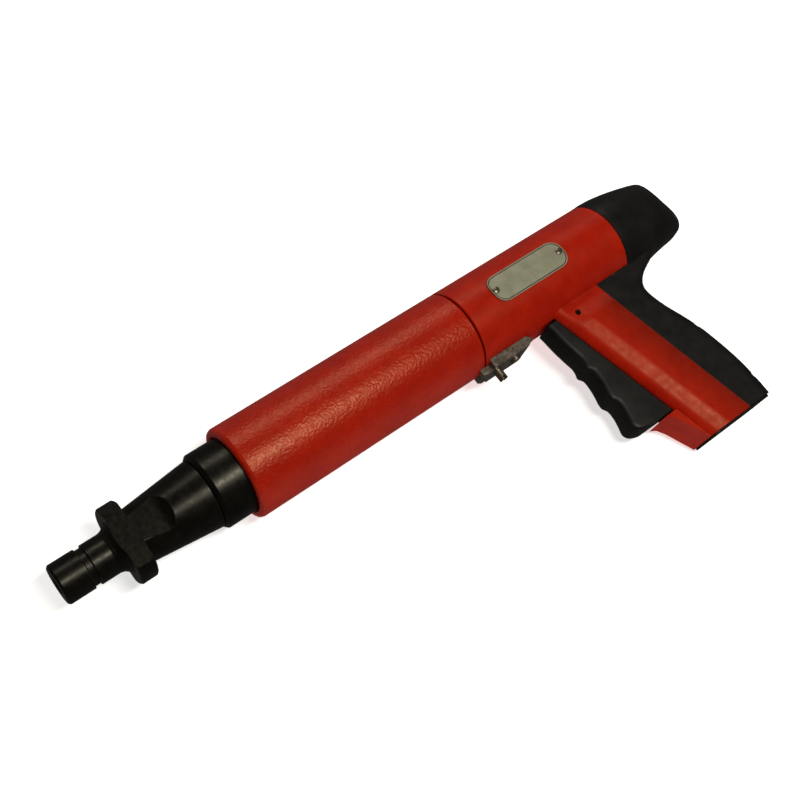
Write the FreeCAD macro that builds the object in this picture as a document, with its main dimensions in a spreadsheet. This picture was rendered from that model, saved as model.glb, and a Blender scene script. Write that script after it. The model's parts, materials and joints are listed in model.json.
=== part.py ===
import FreeCAD, Part
import math
import os
import re
import Sketcher

# Powder-actuated nail gun, lying on its right side.
#   origin: centre of the muzzle's front face
#   +X: along the barrel axis, towards the rear of the tool
#   +Y: towards the top of the tool, so the grip hangs towards -Y
#   +Z: out of the left side, which carries the name plate
# Every length is in millimetres and every angle in degrees.

doc = FreeCAD.newDocument("NailGun")
sheet = doc.addObject("Spreadsheet::Sheet", "Sizes")

# Driving sizes. Each is written once and can be changed on its own.
SIZES = {
    # clearances
    "slide_gap": 0.3,
    "running_gap": 0.1,
    "pin_gap": 0.05,
    "seam_gap": 0.8,
    # nose piece
    "fastener_bore": 4.0,
    "fastener_seat": 42.0,
    "bore_relief": 0.4,
    "tip_radius": 9.25,
    "tip_chamfer": 0.9,
    "groove_front": 12.4,
    "groove_width": 2.8,
    "groove_radius": 8.4,
    "flare_length": 3.6,
    "flare_radius": 12.6,
    "tip_length": 28.0,
    "flange_width": 8.2,
    "flange_radius": 18.1,
    "flange_chamfer": 0.8,
    "cone_length": 33.4,
    "cone_front_radius": 12.6,
    "cone_back_radius": 16.2,
    "flats_half_width": 11.3,
    "flats_length": 10.6,
    "cutter_radius": 6.8,
    "nose_spigot_length": 20.4,
    # barrel
    "casing_length": 70.2,
    "casing_chamfer": 1.6,
    "barrel_radius": 12.5,
    "barrel_bore": 9.2,
    "chamber_length": 18.5,
    "cartridge_radius": 3.5,
    "cartridge_depth": 12.5,
    "gas_port_radius": 1.5,
    "stop_groove_depth": 1.8,
    # travels
    "press_travel": 14.0,
    "pull_travel": 42.0,
    "piston_travel": 44.0,
    # piston and what it strikes
    "piston_length": 18.0,
    "piston_back_gap": 2.0,
    "piston_ring_width": 2.0,
    "piston_ring_depth": 1.6,
    "buffer_length": 16.0,
    "washer_width": 3.7,
    # sleeve and housing
    "body_radius": 22.0,
    "sleeve_wall": 3.7,
    "sleeve_length": 124.4,
    "sleeve_edge": 1.0,
    "casing_shown": 14.0,
    "housing_length": 92.1,
    "housing_wall": 4.7,
    "housing_edge": 0.5,
    "spigot_length": 14.7,
    "spigot_wall": 2.6,
    # grip
    "grip_half_width": 11.6,
    "grip_corner": 5.0,
    "grip_bottom": 109.3,
    "grip_front_setback": 49.3,
    "grip_back_setback": 21.1,
    "grip_rake": 15.5,
    "back_rake": 14.6,
    "lip_half_width": 9.2,
    "lip_depth": 6.6,
    "base_thickness": 1.2,
    # cap and backstrap
    "cap_length": 48.8,
    "strap_step": 3.5,
    "strap_hollow": 15.1,
    "top_screws_above_foot": 47.3,
    "bottom_screws_above_foot": 12.3,
    "strap_screw_z": 8.3,
    "strap_screw_radius": 1.5,
    "strap_screw_grip": 7.0,
    # cartridge strip passage
    "strip_width": 10.6,
    "strip_depth": 12.5,
    # firing mechanism
    "breech_setback": 35.5,
    "breech_width": 9.7,
    "pin_tip_radius": 1.4,
    "pin_radius": 5.0,
    "pin_neck_radius": 3.6,
    "pin_head_length": 7.4,
    "pin_collar_length": 5.0,
    "pin_tail_radius": 2.2,
    "guide_wall": 2.3,
    "firing_spring_length": 26.5,
    "plug_length": 3.0,
    # cocking rod and return spring
    "rod_radius": 1.0,
    "collar_width": 4.7,
    "seat_width": 4.0,
    "return_wire": 0.8,
    # trigger, bar and sear
    "trigger_half_width": 7.5,
    "trigger_above_foot": 21.7,
    "pivot_setback": 39.4,
    "pivot_below": 2.9,
    "pivot_pin_radius": 1.5,
    "pivot_recess": 1.2,
    "bar_inner": 5.7,
    "bar_thickness": 1.6,
    "bar_clearance": 1.7,
    "bar_height": 2.3,
    "sear_half_width": 2.5,
    "sear_drop": 11.2,
    "sear_pin_radius": 1.2,
    # name plate
    "plate_length": 44.6,
    "plate_height": 14.6,
    "plate_corner": 6.0,
    "plate_thickness": 0.9,
    "plate_turn": 6.5,
    "plate_setback": 39.2,
    "rivet_radius": 1.1,
    # stop clip and stop pin
    "clip_half_width": 8.7,
    "clip_thickness": 2.9,
    "clip_tang_half_width": 5.2,
    "clip_tang": 5.6,
    "clip_setback": 1.7,
    "clip_length": 24.9,
    "stop_pin_radius": 2.2,
    "stop_pin_setback": 5.8,
    "stop_pin_shown": 5.3,
    "stop_flange_radius": 3.2,
    "stop_wire": 0.35,
}

# Places and sizes that follow from the driving sizes.
PLACES = {
    "groove_back": "groove_front + groove_width",
    "flange_back": "tip_length + flange_width",
    "cone_back": "flange_back + cone_length",
    "barrel_front": "cone_back + nose_spigot_length",
    "casing_back": "cone_back + casing_length",
    "barrel_back": "housing_back - breech_setback",
    "chamber_front": "barrel_back - chamber_length",
    "piston_back": "chamber_front - piston_back_gap",
    "piston_front": "piston_back - piston_length",
    "washer_back": "piston_front - piston_travel - slide_gap",
    "washer_front": "washer_back - washer_width",
    "buffer_front": "washer_front - buffer_length",
    "rod_bore": "fastener_bore + running_gap",
    "sleeve_front": "cone_back + casing_chamfer - 0.5 + casing_shown",
    "sleeve_back": "sleeve_front + sleeve_length",
    "sleeve_bore": "body_radius - sleeve_wall",
    "casing_radius": "sleeve_bore - slide_gap",
    "housing_front": "sleeve_back + seam_gap",
    "housing_back": "housing_front + housing_length",
    "housing_bore": "body_radius - housing_wall",
    "spigot_radius": "housing_bore + spigot_wall",
    "spigot_front": "housing_front - spigot_length",
    "plate_centre": "housing_front + plate_setback",
    "grip_top": "body_radius - 0.7",
    "grip_drop": "grip_bottom - grip_top",
    "grip_front_top": "housing_back - grip_front_setback",
    "grip_back_top": "housing_back - grip_back_setback",
    "strap_top": "body_radius - strap_step",
    "trigger_bottom": "grip_bottom - trigger_above_foot",
    "trigger_drop": "trigger_bottom - grip_top",
    "pivot_x": "housing_back - pivot_setback",
    "pivot_drop": "body_radius + pivot_below",
    "breech_front": "barrel_back + press_travel + 1.0",
    "breech_back": "breech_front + breech_width",
    "channel_front": "breech_front - strip_depth",
    "pin_shoulder": "breech_back + 1.1",
    "cocked_shoulder": "pin_shoulder + press_travel",
    "pin_collar_front": "pin_shoulder + 17.4",
    "pin_collar_back": "pin_collar_front + pin_collar_length",
    "spring_back": "pin_collar_back + firing_spring_length",
    "guide_bore": "pin_radius + slide_gap",
    "guide_radius": "guide_bore + guide_wall",
    "plug_back": "spring_back + plug_length",
    "arm_back": "pin_collar_front - slide_gap",
    "arm_front": "arm_back - 3.5",
    "press_front": "casing_back + slide_gap",
    "press_back": "press_front + collar_width",
    "seat_back": "spigot_front",
    "seat_front": "seat_back - seat_width",
    "return_radius": "barrel_radius + slide_gap + 0.1 + return_wire",
    "sear_x": "breech_back + 5.0",
    "rod_offset": "housing_bore - slide_gap - rod_radius",
    "bar_drop": "housing_bore - bar_clearance",
    "clip_front": "housing_front + clip_setback",
    "clip_bottom": "body_radius + clip_thickness",
    "stop_pin_x": "housing_front + stop_pin_setback",
    "stop_pin_end": "clip_bottom + stop_pin_shown",
    "stop_hole": "stop_flange_radius + slide_gap",
}

WORD = re.compile(r"[a-z_]+[a-z0-9_]*")


def bound(text):
    """An expression on the sheet's cells, with the named places written out."""
    def swap(found):
        word = found.group(0)
        if word in PLACES:
            return "(" + bound(PLACES[word]) + ")"
        if word in SIZES:
            return "Sizes." + word
        return word
    return WORD.sub(swap, str(text))


def value(text):
    """What an expression comes to, as a number."""
    return float(sheet.evalExpression(bound(text)))


for row, (alias, number) in enumerate(SIZES.items(), start=1):
    sheet.set("A%d" % row, alias)
    sheet.set("B%d" % row, str(number))
    sheet.setAlias("B%d" % row, alias)
doc.recompute()

PARTS = []


def new_body(name):
    """One sub-part, built feature by feature."""
    body = doc.addObject("PartDesign::Body", name)
    body.Label = name
    body.Placement = FreeCAD.Placement()
    PARTS.append(body)
    return body


def new_sketch(body, plane, shift="0"):
    """An empty sketch on one of the body's own planes, moved along its normal."""
    sketch = body.newObject("Sketcher::SketchObject", body.Label + "_sketch")
    origin_plane = [f for f in body.Origin.OriginFeatures if f.Role == plane][0]
    sketch.AttachmentSupport = [(origin_plane, "")]
    sketch.MapMode = "FlatFace"
    if shift != "0":
        sketch.setExpression("AttachmentOffset.Base.z", bound(shift))
    return sketch


def pin_down(sketch, shape, point, across, up):
    """Ties one point of a sketch to two expressions."""
    for kind, text in (("DistanceX", across), ("DistanceY", up)):
        number = sketch.addConstraint(Sketcher.Constraint(kind, -1, 1, shape, point, value(text)))
        sketch.setExpression("Constraints[%d]" % number, bound(text))


def outline(body, corners, plane="XY_Plane", shift="0"):
    """A closed outline with straight sides. corners are pairs of expressions."""
    sketch = new_sketch(body, plane, shift)
    points = [FreeCAD.Vector(value(across), value(up), 0) for across, up in corners]
    count = len(points)
    for i in range(count):
        sketch.addGeometry(Part.LineSegment(points[i], points[(i + 1) % count]), False)
    for i in range(count):
        sketch.addConstraint(Sketcher.Constraint("Coincident", i, 2, (i + 1) % count, 1))
    for i, (across, up) in enumerate(corners):
        pin_down(sketch, i, 1, across, up)
    return sketch


def circles(body, centres, radius, plane="XY_Plane", shift="0"):
    """One or more circles of the same radius. centres are pairs of expressions."""
    sketch = new_sketch(body, plane, shift)
    normal = FreeCAD.Vector(0, 0, 1)
    for i, (across, up) in enumerate(centres):
        centre = FreeCAD.Vector(value(across), value(up), 0)
        sketch.addGeometry(Part.Circle(centre, normal, value(radius)), False)
        number = sketch.addConstraint(Sketcher.Constraint("Radius", i, value(radius)))
        sketch.setExpression("Constraints[%d]" % number, bound(radius))
        pin_down(sketch, i, 3, across, up)
    return sketch


def volume(body):
    doc.recompute()
    return body.Shape.Volume


def turn(body, profile):
    """Adds a shape turned about the barrel axis. profile holds pairs of place and radius."""
    sketch = outline(body, profile)
    feature = body.newObject("PartDesign::Revolution", body.Label + "_turned")
    feature.Profile = sketch
    feature.ReferenceAxis = (sketch, ["H_Axis"])
    feature.Angle = 360
    sketch.Visibility = False
    doc.recompute()
    return feature


def turn_away(body, profile):
    """Cuts a shape turned about the barrel axis."""
    before = volume(body)
    sketch = outline(body, profile)
    feature = body.newObject("PartDesign::Groove", body.Label + "_groove")
    feature.Profile = sketch
    feature.ReferenceAxis = (sketch, ["H_Axis"])
    feature.Angle = 360
    if volume(body) >= before:
        raise ValueError("a groove in %s cuts nothing" % body.Label)
    return feature


def pad(body, sketch, length, both_ways=False, reverse=False):
    """Adds a sketch pulled out along its normal."""
    feature = body.newObject("PartDesign::Pad", body.Label + "_pad")
    feature.Profile = sketch
    feature.setExpression("Length", bound(length))
    feature.Midplane = both_ways
    feature.Reversed = reverse
    doc.recompute()
    return feature


def cut(body, sketch, length, both_ways=False, reverse=False):
    """Cuts a sketch pushed in along its normal."""
    before = volume(body)
    feature = body.newObject("PartDesign::Pocket", body.Label + "_pocket")
    feature.Profile = sketch
    feature.setExpression("Length", bound(length))
    feature.Midplane = both_ways
    feature.Reversed = reverse
    if volume(body) >= before:
        raise ValueError("a pocket in %s cuts nothing" % body.Label)
    return feature


def edges_where(feature, test):
    """The names of a feature's edges whose two ends pass a test."""
    names = []
    for number, edge in enumerate(feature.Shape.Edges, start=1):
        if len(edge.Vertexes) != 2:
            continue
        if all(test(vertex.Point) for vertex in edge.Vertexes):
            names.append("Edge%d" % number)
    return names


def round_edges(body, feature, radius, test):
    """Rounds the edges whose ends pass a test."""
    names = edges_where(feature, test)
    if not names:
        raise ValueError("nothing to round in %s" % body.Label)
    rounded = body.newObject("PartDesign::Fillet", body.Label + "_round")
    rounded.Base = (feature, names)
    rounded.setExpression("Radius", bound(radius))
    doc.recompute()
    return rounded


def near(number, text, slack=0.05):
    return abs(number - value(text)) < slack

# ---------------------------------------------------------------- nose piece and barrel

nose = new_body("nose_piece")
turn(nose, [
    ("0", "fastener_bore"),
    ("0", "tip_radius - tip_chamfer"),
    ("tip_chamfer", "tip_radius"),
    ("groove_front", "tip_radius"),
    ("groove_front", "groove_radius"),
    ("groove_back", "groove_radius"),
    ("groove_back", "tip_radius"),
    ("tip_length - flare_length", "tip_radius"),
    ("tip_length - flare_length / 3", "(tip_radius + flare_radius) / 2 - 0.5"),
    ("tip_length", "flare_radius"),
    ("tip_length", "flange_radius - flange_chamfer"),
    ("tip_length + flange_chamfer", "flange_radius"),
    ("flange_back - flange_chamfer", "flange_radius"),
    ("flange_back", "flange_radius - flange_chamfer"),
    ("flange_back", "cone_front_radius"),
    ("cone_back", "cone_back_radius"),
    ("cone_back", "barrel_radius"),
    ("barrel_front", "barrel_radius"),
    ("barrel_front", "fastener_bore + bore_relief"),
    ("fastener_seat", "fastener_bore + bore_relief"),
    ("fastener_seat", "fastener_bore"),
])
# Two parallel wrench flats, milled across the flange and the front of the cone. The cutter's
# own round shows where each cut ends.
for side in ("", "-"):
    cut(nose, outline(nose, [
        ("tip_length - flare_length", side + "flats_half_width"),
        ("flange_back + flats_length", side + "flats_half_width"),
        ("flange_back + flats_length", side + "(flange_radius + 2)"),
        ("tip_length - flare_length", side + "(flange_radius + 2)"),
    ], "XZ_Plane"), "2 * flange_radius + 4", both_ways=True)
    cutter = ("flange_back + flats_length", side + "(flats_half_width + cutter_radius)")
    cut(nose, circles(nose, [cutter], "cutter_radius", "XZ_Plane"), "2 * flange_radius + 4", both_ways=True)

casing = new_body("barrel_casing")
turn(casing, [
    ("cone_back + 0.2", "barrel_radius"),
    ("cone_back + 0.2", "casing_radius - casing_chamfer"),
    ("cone_back + casing_chamfer + 0.2", "casing_radius"),
    ("casing_back - 0.5", "casing_radius"),
    ("casing_back", "casing_radius - 0.5"),
    ("casing_back", "barrel_radius"),
])

barrel = new_body("barrel_tube")
turn(barrel, [
    ("barrel_front", "barrel_bore"),
    ("barrel_front", "barrel_radius"),
    ("barrel_back - 0.5", "barrel_radius"),
    ("barrel_back", "barrel_radius - 0.5"),
    ("barrel_back", "barrel_bore"),
])
# The groove that the stop pin runs in limits how far the barrel pulls out and presses in.
cut(barrel, outline(barrel, [
    ("stop_pin_x - press_travel - stop_pin_radius - 0.4", "stop_pin_radius + slide_gap"),
    ("stop_pin_x - press_travel - stop_pin_radius - 0.4", "-stop_pin_radius - slide_gap"),
    ("stop_pin_x + pull_travel + stop_pin_radius + 0.4", "-stop_pin_radius - slide_gap"),
    ("stop_pin_x + pull_travel + stop_pin_radius + 0.4", "stop_pin_radius + slide_gap"),
], "XZ_Plane", "barrel_radius - stop_groove_depth"), "stop_groove_depth + 1", reverse=True)

chamber = new_body("cartridge_chamber")
turn(chamber, [
    ("chamber_front", "gas_port_radius"),
    ("chamber_front", "barrel_bore"),
    ("barrel_back", "barrel_bore"),
    ("barrel_back", "cartridge_radius + 0.6"),
    ("barrel_back - 0.6", "cartridge_radius"),
    ("barrel_back - cartridge_depth", "cartridge_radius"),
    ("barrel_back - cartridge_depth", "gas_port_radius"),
])


def ring(name, front, back, inner, outer):
    """A plain turned ring or tube."""
    body = new_body(name)
    turn(body, [(front, inner), (front, outer), (back, outer), (back, inner)])
    return body


ring("piston_guide", "barrel_front", "buffer_front", "rod_bore", "barrel_bore")
ring("buffer_ring", "buffer_front", "washer_front", "rod_bore + 0.8", "barrel_bore")
ring("buffer_washer", "washer_front", "washer_back", "rod_bore", "barrel_bore")

piston = new_body("piston")
ring_places = ["piston_front + 4", "piston_front + 10"]
piston_profile = [
    ("piston_travel", "0"),
    ("piston_travel", "fastener_bore - running_gap - 0.6"),
    ("piston_travel + 0.6", "fastener_bore - running_gap"),
    ("piston_front", "fastener_bore - running_gap"),
    ("piston_front", "barrel_bore - running_gap"),
]
for place in ring_places:
    piston_profile += [
        (place, "barrel_bore - running_gap"),
        (place, "barrel_bore - piston_ring_depth"),
        (place + " + piston_ring_width", "barrel_bore - piston_ring_depth"),
        (place + " + piston_ring_width", "barrel_bore - running_gap"),
    ]
piston_profile += [("piston_back", "barrel_bore - running_gap"), ("piston_back", "0")]
turn(piston, piston_profile)

rings = new_body("piston_rings")
for place in ring_places:
    turn(rings, [
        (place, "barrel_bore - piston_ring_depth"),
        (place, "barrel_bore - 0.05"),
        (place + " + piston_ring_width", "barrel_bore - 0.05"),
        (place + " + piston_ring_width", "barrel_bore - piston_ring_depth"),
    ])

# ---------------------------------------------------------------- front sleeve and housing

sleeve = new_body("front_sleeve")
turn(sleeve, [
    ("sleeve_front", "sleeve_bore + 0.6"),
    ("sleeve_front", "body_radius - sleeve_edge - 1.2"),
    ("sleeve_front + 0.5", "body_radius - sleeve_edge * 0.4"),
    ("sleeve_front + sleeve_edge * 1.6", "body_radius"),
    ("sleeve_back - 0.4", "body_radius"),
    ("sleeve_back", "body_radius - 0.4"),
    ("sleeve_back", "spigot_radius"),
    ("spigot_front", "spigot_radius"),
    ("spigot_front", "sleeve_bore"),
    ("sleeve_front + 0.6", "sleeve_bore"),
])


def rake(start, drop, lean="grip_rake"):
    """Where a line that leans back with the grip has got to, a drop below the barrel axis."""
    return "%s + (%s - grip_top) * tan(%s * 1 deg)" % (start, drop, lean)


PLACES["channel_lean"] = "tan(grip_rake * 1 deg)"
CHANNEL = [
    ("channel_front", "body_radius + 8"),
    ("breech_front", "body_radius + 8"),
    ("breech_front", "-body_radius - 2"),
    ("breech_front + (grip_bottom - body_radius + 1) * channel_lean", "-grip_bottom - 3"),
    ("channel_front + (grip_bottom - body_radius + 1) * channel_lean", "-grip_bottom - 3"),
    ("channel_front", "-body_radius - 2"),
]

housing = new_body("housing")
turn(housing, [
    ("spigot_front", "0"),
    ("spigot_front", "spigot_radius"),
    ("housing_front", "spigot_radius"),
    ("housing_front", "body_radius - 0.4"),
    ("housing_front + 0.4", "body_radius"),
    ("housing_back - housing_edge", "body_radius"),
    ("housing_back", "body_radius - housing_edge"),
    ("housing_back", "0"),
])
SHELL_BOTTOM = "grip_bottom - base_thickness"
grip_pad = pad(housing, outline(housing, [
    (rake("grip_front_top", "10"), "-10"),
    (rake("grip_front_top", SHELL_BOTTOM), "-grip_bottom + base_thickness"),
    (rake("grip_back_top", SHELL_BOTTOM, "back_rake"), "-grip_bottom + base_thickness"),
    (rake("grip_back_top", "10", "back_rake"), "-10"),
]), "2 * grip_half_width", both_ways=True)
for side in (1, -1):
    grip_pad = round_edges(housing, grip_pad, "grip_corner",
                           lambda p, side=side: near(side * p.z, "grip_half_width")
                           and p.y < -value("strap_top") + 0.5
                           and p.x < value(rake("grip_front_top", str(-p.y))) + 1)
# The lip under the trigger.
lip_pad = pad(housing, outline(housing, [
    (rake("grip_front_top", "trigger_bottom") + " - lip_depth", "-trigger_bottom - 0.9"),
    (rake("grip_front_top", "trigger_bottom") + " - lip_depth + 3.2", "-trigger_bottom - 2.6"),
    (rake("grip_front_top", "trigger_bottom") + " - lip_depth + 6.0", "-trigger_bottom - 6.6"),
    (rake("grip_front_top", "grip_bottom") + " + 0.2", "-grip_bottom + base_thickness"),
    (rake("grip_front_top", "grip_bottom") + " + 7", "-grip_bottom + base_thickness"),
    (rake("grip_front_top", "trigger_bottom") + " + 6", "-trigger_bottom - 0.9"),
]), "2 * lip_half_width", both_ways=True)
# The barrel's bore, open at both ends.
turn_away(housing, [
    ("spigot_front - 1", "0"),
    ("spigot_front - 1", "housing_bore"),
    ("housing_back + 1", "housing_bore"),
    ("housing_back + 1", "0"),
])
# The slot that the trigger swings into.
TRIGGER_SLOT = [
    ("grip_front_top - 12", "-grip_top + 1.2"),
    ("grip_front_top + 3", "-grip_top + 1.2"),
    ("grip_front_top + 3", "-housing_bore + 3"),
    ("pivot_x + 4.6", "-housing_bore + 3"),
    ("pivot_x + 4.6", "-pivot_drop - 5"),
    (rake("grip_front_top", "trigger_bottom") + " + 10.2", "-trigger_bottom - 0.5"),
    (rake("grip_front_top", "trigger_bottom") + " - 14", "-trigger_bottom - 0.5"),
]
cut(housing, outline(housing, TRIGGER_SLOT), "2 * (trigger_half_width + slide_gap)", both_ways=True)
# The cartridge strip's passage, from the foot of the grip to the top of the housing.
cut(housing, outline(housing, CHANNEL), "strip_width", both_ways=True)
# The backstrap reaches forward under the back of the housing.
cut(housing, outline(housing, [
    (rake("grip_back_top", "strap_top", "back_rake"), "-strap_top"),
    ("housing_back + 1", "-strap_top"),
    ("housing_back + 1", "-body_radius - 1"),
    (rake("grip_back_top", "body_radius + 1", "back_rake"), "-body_radius - 1"),
]), "2 * body_radius", both_ways=True)
# The trigger's pivot hole goes through both sides of the grip.
cut(housing, circles(housing, [("pivot_x", "-pivot_drop")], "pivot_pin_radius"),
    "4 * grip_half_width", both_ways=True)
# The stop pin's hole, in the underside.
cut(housing, circles(housing, [("stop_pin_x", "0")], "stop_hole", "XZ_Plane", "housing_bore - 3"),
    "body_radius", reverse=True)

# The name plate is bent to the housing's own radius and sits on it, turned a little upwards.
def solid(kind, name, tie):
    """One of Part's own shapes, with its properties tied to expressions."""
    shape = doc.addObject("Part::" + kind, name)
    for prop, text in tie.items():
        shape.setExpression(prop, bound(text))
    return shape


def tube_along_x(name, radius):
    """A solid rod along the barrel axis, as long as the name plate needs."""
    rod = solid("Cylinder", name, {
        "Radius": radius,
        "Height": "plate_length + 20",
        "Placement.Base.x": "plate_centre - plate_length / 2 - 10",
    })
    rod.Placement.Rotation = FreeCAD.Rotation(FreeCAD.Vector(0, 1, 0), 90)
    return rod


def boolean(kind, name, base, tool):
    result = doc.addObject("Part::" + kind, name)
    result.Base = base
    result.Tool = tool
    return result


plate_skin = boolean("Cut", "plate_skin", tube_along_x("plate_outside", "body_radius + plate_thickness"),
                     tube_along_x("plate_inside", "body_radius"))
plate_block = solid("Box", "plate_block", {
    "Length": "plate_length",
    "Width": "plate_height",
    "Height": "body_radius * 0.4",
    "Placement.Base.x": "plate_centre - plate_length / 2",
    "Placement.Base.y": "-plate_height / 2",
    "Placement.Base.z": "body_radius * 0.8",
})
doc.recompute()
plate_rounded = doc.addObject("Part::Fillet", "plate_rounded")
plate_rounded.Base = plate_block
upright = [i for i, edge in enumerate(plate_block.Shape.Edges, start=1)
           if abs(edge.Vertexes[0].Z - edge.Vertexes[-1].Z) > 1]
plate_rounded.Edges = [(i, value("plate_corner"), value("plate_corner")) for i in upright]
plate_blank = boolean("Common", "plate_blank", plate_skin, plate_rounded)
plate_rivets = [("plate_centre - plate_length / 2 + 2.4", "0"), ("plate_centre + plate_length / 2 - 2.7", "0")]
rivet_holes = []
for number, (across, _) in enumerate(plate_rivets):
    rivet_holes.append(solid("Cylinder", "plate_hole_%d" % number, {
        "Radius": "rivet_radius",
        "Height": "body_radius",
        "Placement.Base.x": across,
        "Placement.Base.z": "body_radius * 0.5",
    }))
plate = boolean("Cut", "name_plate", boolean("Cut", "plate_one_hole", plate_blank, rivet_holes[0]), rivet_holes[1])
plate.Label = "name_plate"
TILT = FreeCAD.Rotation(FreeCAD.Vector(1, 0, 0), -SIZES["plate_turn"])
plate.Placement = FreeCAD.Placement(FreeCAD.Vector(), TILT)
PARTS.append(plate)

# Rivets: a shank through the plate and a low head on it, one solid each.
rivets = new_body("name_plate_rivets")
pad(rivets, circles(rivets, plate_rivets, "rivet_radius", shift="body_radius"), "plate_thickness + 0.1")
pad(rivets, circles(rivets, plate_rivets, "rivet_radius + 0.6", shift="body_radius + plate_thickness"), "0.5")
rivets.Placement = FreeCAD.Placement(FreeCAD.Vector(), TILT)

# ---------------------------------------------------------------- clip and stop pin on the underside

clip = new_body("stop_clip")
pad(clip, outline(clip, [
    ("clip_front", "-body_radius + 3.5"),
    ("clip_front", "-clip_bottom"),
    ("clip_front + clip_length - 4", "-clip_bottom"),
    ("clip_front + clip_length", "-clip_bottom + 2.2"),
    ("clip_front + clip_length - 4.6", "-body_radius + 3.5"),
]), "2 * clip_half_width", both_ways=True)
pad(clip, outline(clip, [
    ("clip_front - clip_tang", "-body_radius + 1"),
    ("clip_front - clip_tang", "-clip_bottom + 0.9"),
    ("clip_front - clip_tang + 1.6", "-clip_bottom"),
    ("clip_front + 4", "-clip_bottom"),
    ("clip_front + 4", "-body_radius + 1"),
]), "2 * clip_tang_half_width", both_ways=True)
turn_away(clip, [
    ("clip_front - clip_length", "0"),
    ("clip_front - clip_length", "body_radius"),
    ("clip_front + 2 * clip_length", "body_radius"),
    ("clip_front + 2 * clip_length", "0"),
])
cut(clip, circles(clip, [("stop_pin_x", "0")], "stop_pin_radius + slide_gap", "XZ_Plane", "body_radius - 5"),
    "12", reverse=True)
cut(clip, circles(clip, [("stop_pin_x", "0")], "stop_hole", "XZ_Plane", "body_radius - 5"),
    "clip_bottom - body_radius + 4.1", reverse=True)
CLIP_SCREW = [("clip_front + 15.4", "0")]
cut(clip, circles(clip, CLIP_SCREW, "1.5", "XZ_Plane", "body_radius - 5"), "12", reverse=True)

clip_screw = new_body("clip_screw")
pad(clip_screw, circles(clip_screw, CLIP_SCREW, "1.5", "XZ_Plane", "housing_bore + 0.6"),
    "clip_bottom - housing_bore - 0.6", reverse=False)
pad(clip_screw, circles(clip_screw, CLIP_SCREW, "2.6", "XZ_Plane", "clip_bottom"), "1.1", reverse=False)
cut(clip_screw, outline(clip_screw, [
    ("clip_front + 12", "-0.35"),
    ("clip_front + 19", "-0.35"),
    ("clip_front + 19", "0.35"),
    ("clip_front + 12", "0.35"),
], "XZ_Plane", "clip_bottom + 0.6"), "2", reverse=True)
cut(housing, circles(housing, CLIP_SCREW, "1.5", "XZ_Plane", "housing_bore + 0.6"), "12", reverse=True)

stop_pin = new_body("stop_pin")
STUD = [("stop_pin_x", "0")]
pad(stop_pin, circles(stop_pin, STUD, "stop_pin_radius", "XZ_Plane", "barrel_radius - 1.4"),
    "stop_pin_end - barrel_radius + 1.4")
pad(stop_pin, circles(stop_pin, STUD, "stop_flange_radius", "XZ_Plane", "housing_bore + 0.4"), "1.2")
cut(stop_pin, outline(stop_pin, [
    ("stop_pin_x - 0.6", "-stop_pin_radius - 1"),
    ("stop_pin_x + 0.6", "-stop_pin_radius - 1"),
    ("stop_pin_x + 0.6", "stop_pin_radius + 1"),
    ("stop_pin_x - 0.6", "stop_pin_radius + 1"),
], "XZ_Plane", "stop_pin_end - 1.6"), "3", reverse=True)


def coil(name, start, end, mean_radius, wire, turns, along="X", centre=("0", "0")):
    """A coil spring of round wire. Its ends stand a wire's radius inside start and end."""
    body = new_body(name)
    if along == "X":
        sketch = circles(body, [(start + " + " + wire, mean_radius)], wire)
    else:
        sketch = circles(body, [(mean_radius, start + " + " + wire)], wire)
    helix = body.newObject("PartDesign::AdditiveHelix", name + "_coils")
    helix.Profile = sketch
    helix.ReferenceAxis = (sketch, ["H_Axis" if along == "X" else "V_Axis"])
    helix.Mode = 0
    helix.setExpression("Pitch", bound("(%s - (%s) - 2 * %s) / %s" % (end, start, wire, turns)))
    helix.setExpression("Height", bound("%s - (%s) - 2 * %s" % (end, start, wire)))
    doc.recompute()
    for axis, text in zip("xyz", centre_of(along, centre)):
        if text != "0":
            body.setExpression("Placement.Base." + axis, bound(text))
    return body


def centre_of(along, centre):
    """Where a coil's axis passes: (y, z) for one along X, (x, z) for one along Y."""
    return ("0",) + centre if along == "X" else (centre[0], "0", centre[1])


coil("stop_pin_spring", "-clip_bottom + 0.9", "-housing_bore - 1.65", "stop_pin_radius + 0.6",
     "stop_wire", 3, "Y", ("stop_pin_x", "0"))

# ---------------------------------------------------------------- press collar, cocking rod, return spring

collar = ring("press_collar", "press_front", "press_back", "barrel_radius + slide_gap", "sleeve_bore - slide_gap")
cocking = new_body("cocking_rod")
pad(cocking, circles(cocking, [("0", "-rod_offset")], "rod_radius", "YZ_Plane", "press_back"),
    "arm_back - (press_back)")
pad(cocking, outline(cocking, [
    ("arm_front", "-rod_offset - rod_radius"),
    ("arm_back", "-rod_offset - rod_radius"),
    ("arm_back", "-pin_neck_radius - 0.5"),
    ("arm_front", "-pin_neck_radius - 0.5"),
], "XZ_Plane"), "4", both_ways=True)

seat = ring("spring_seat", "seat_front", "seat_back", "barrel_radius + slide_gap", "sleeve_bore")
ROD_HOLE = [("0", "-rod_offset")]
cut(seat, circles(seat, ROD_HOLE, "rod_radius + slide_gap", "YZ_Plane", "seat_front - 1"),
    "seat_width + 2", reverse=True)

coil("return_spring", "press_back", "seat_front", "return_radius", "return_wire", 9)

# ---------------------------------------------------------------- breech, firing pin and sear

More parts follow.
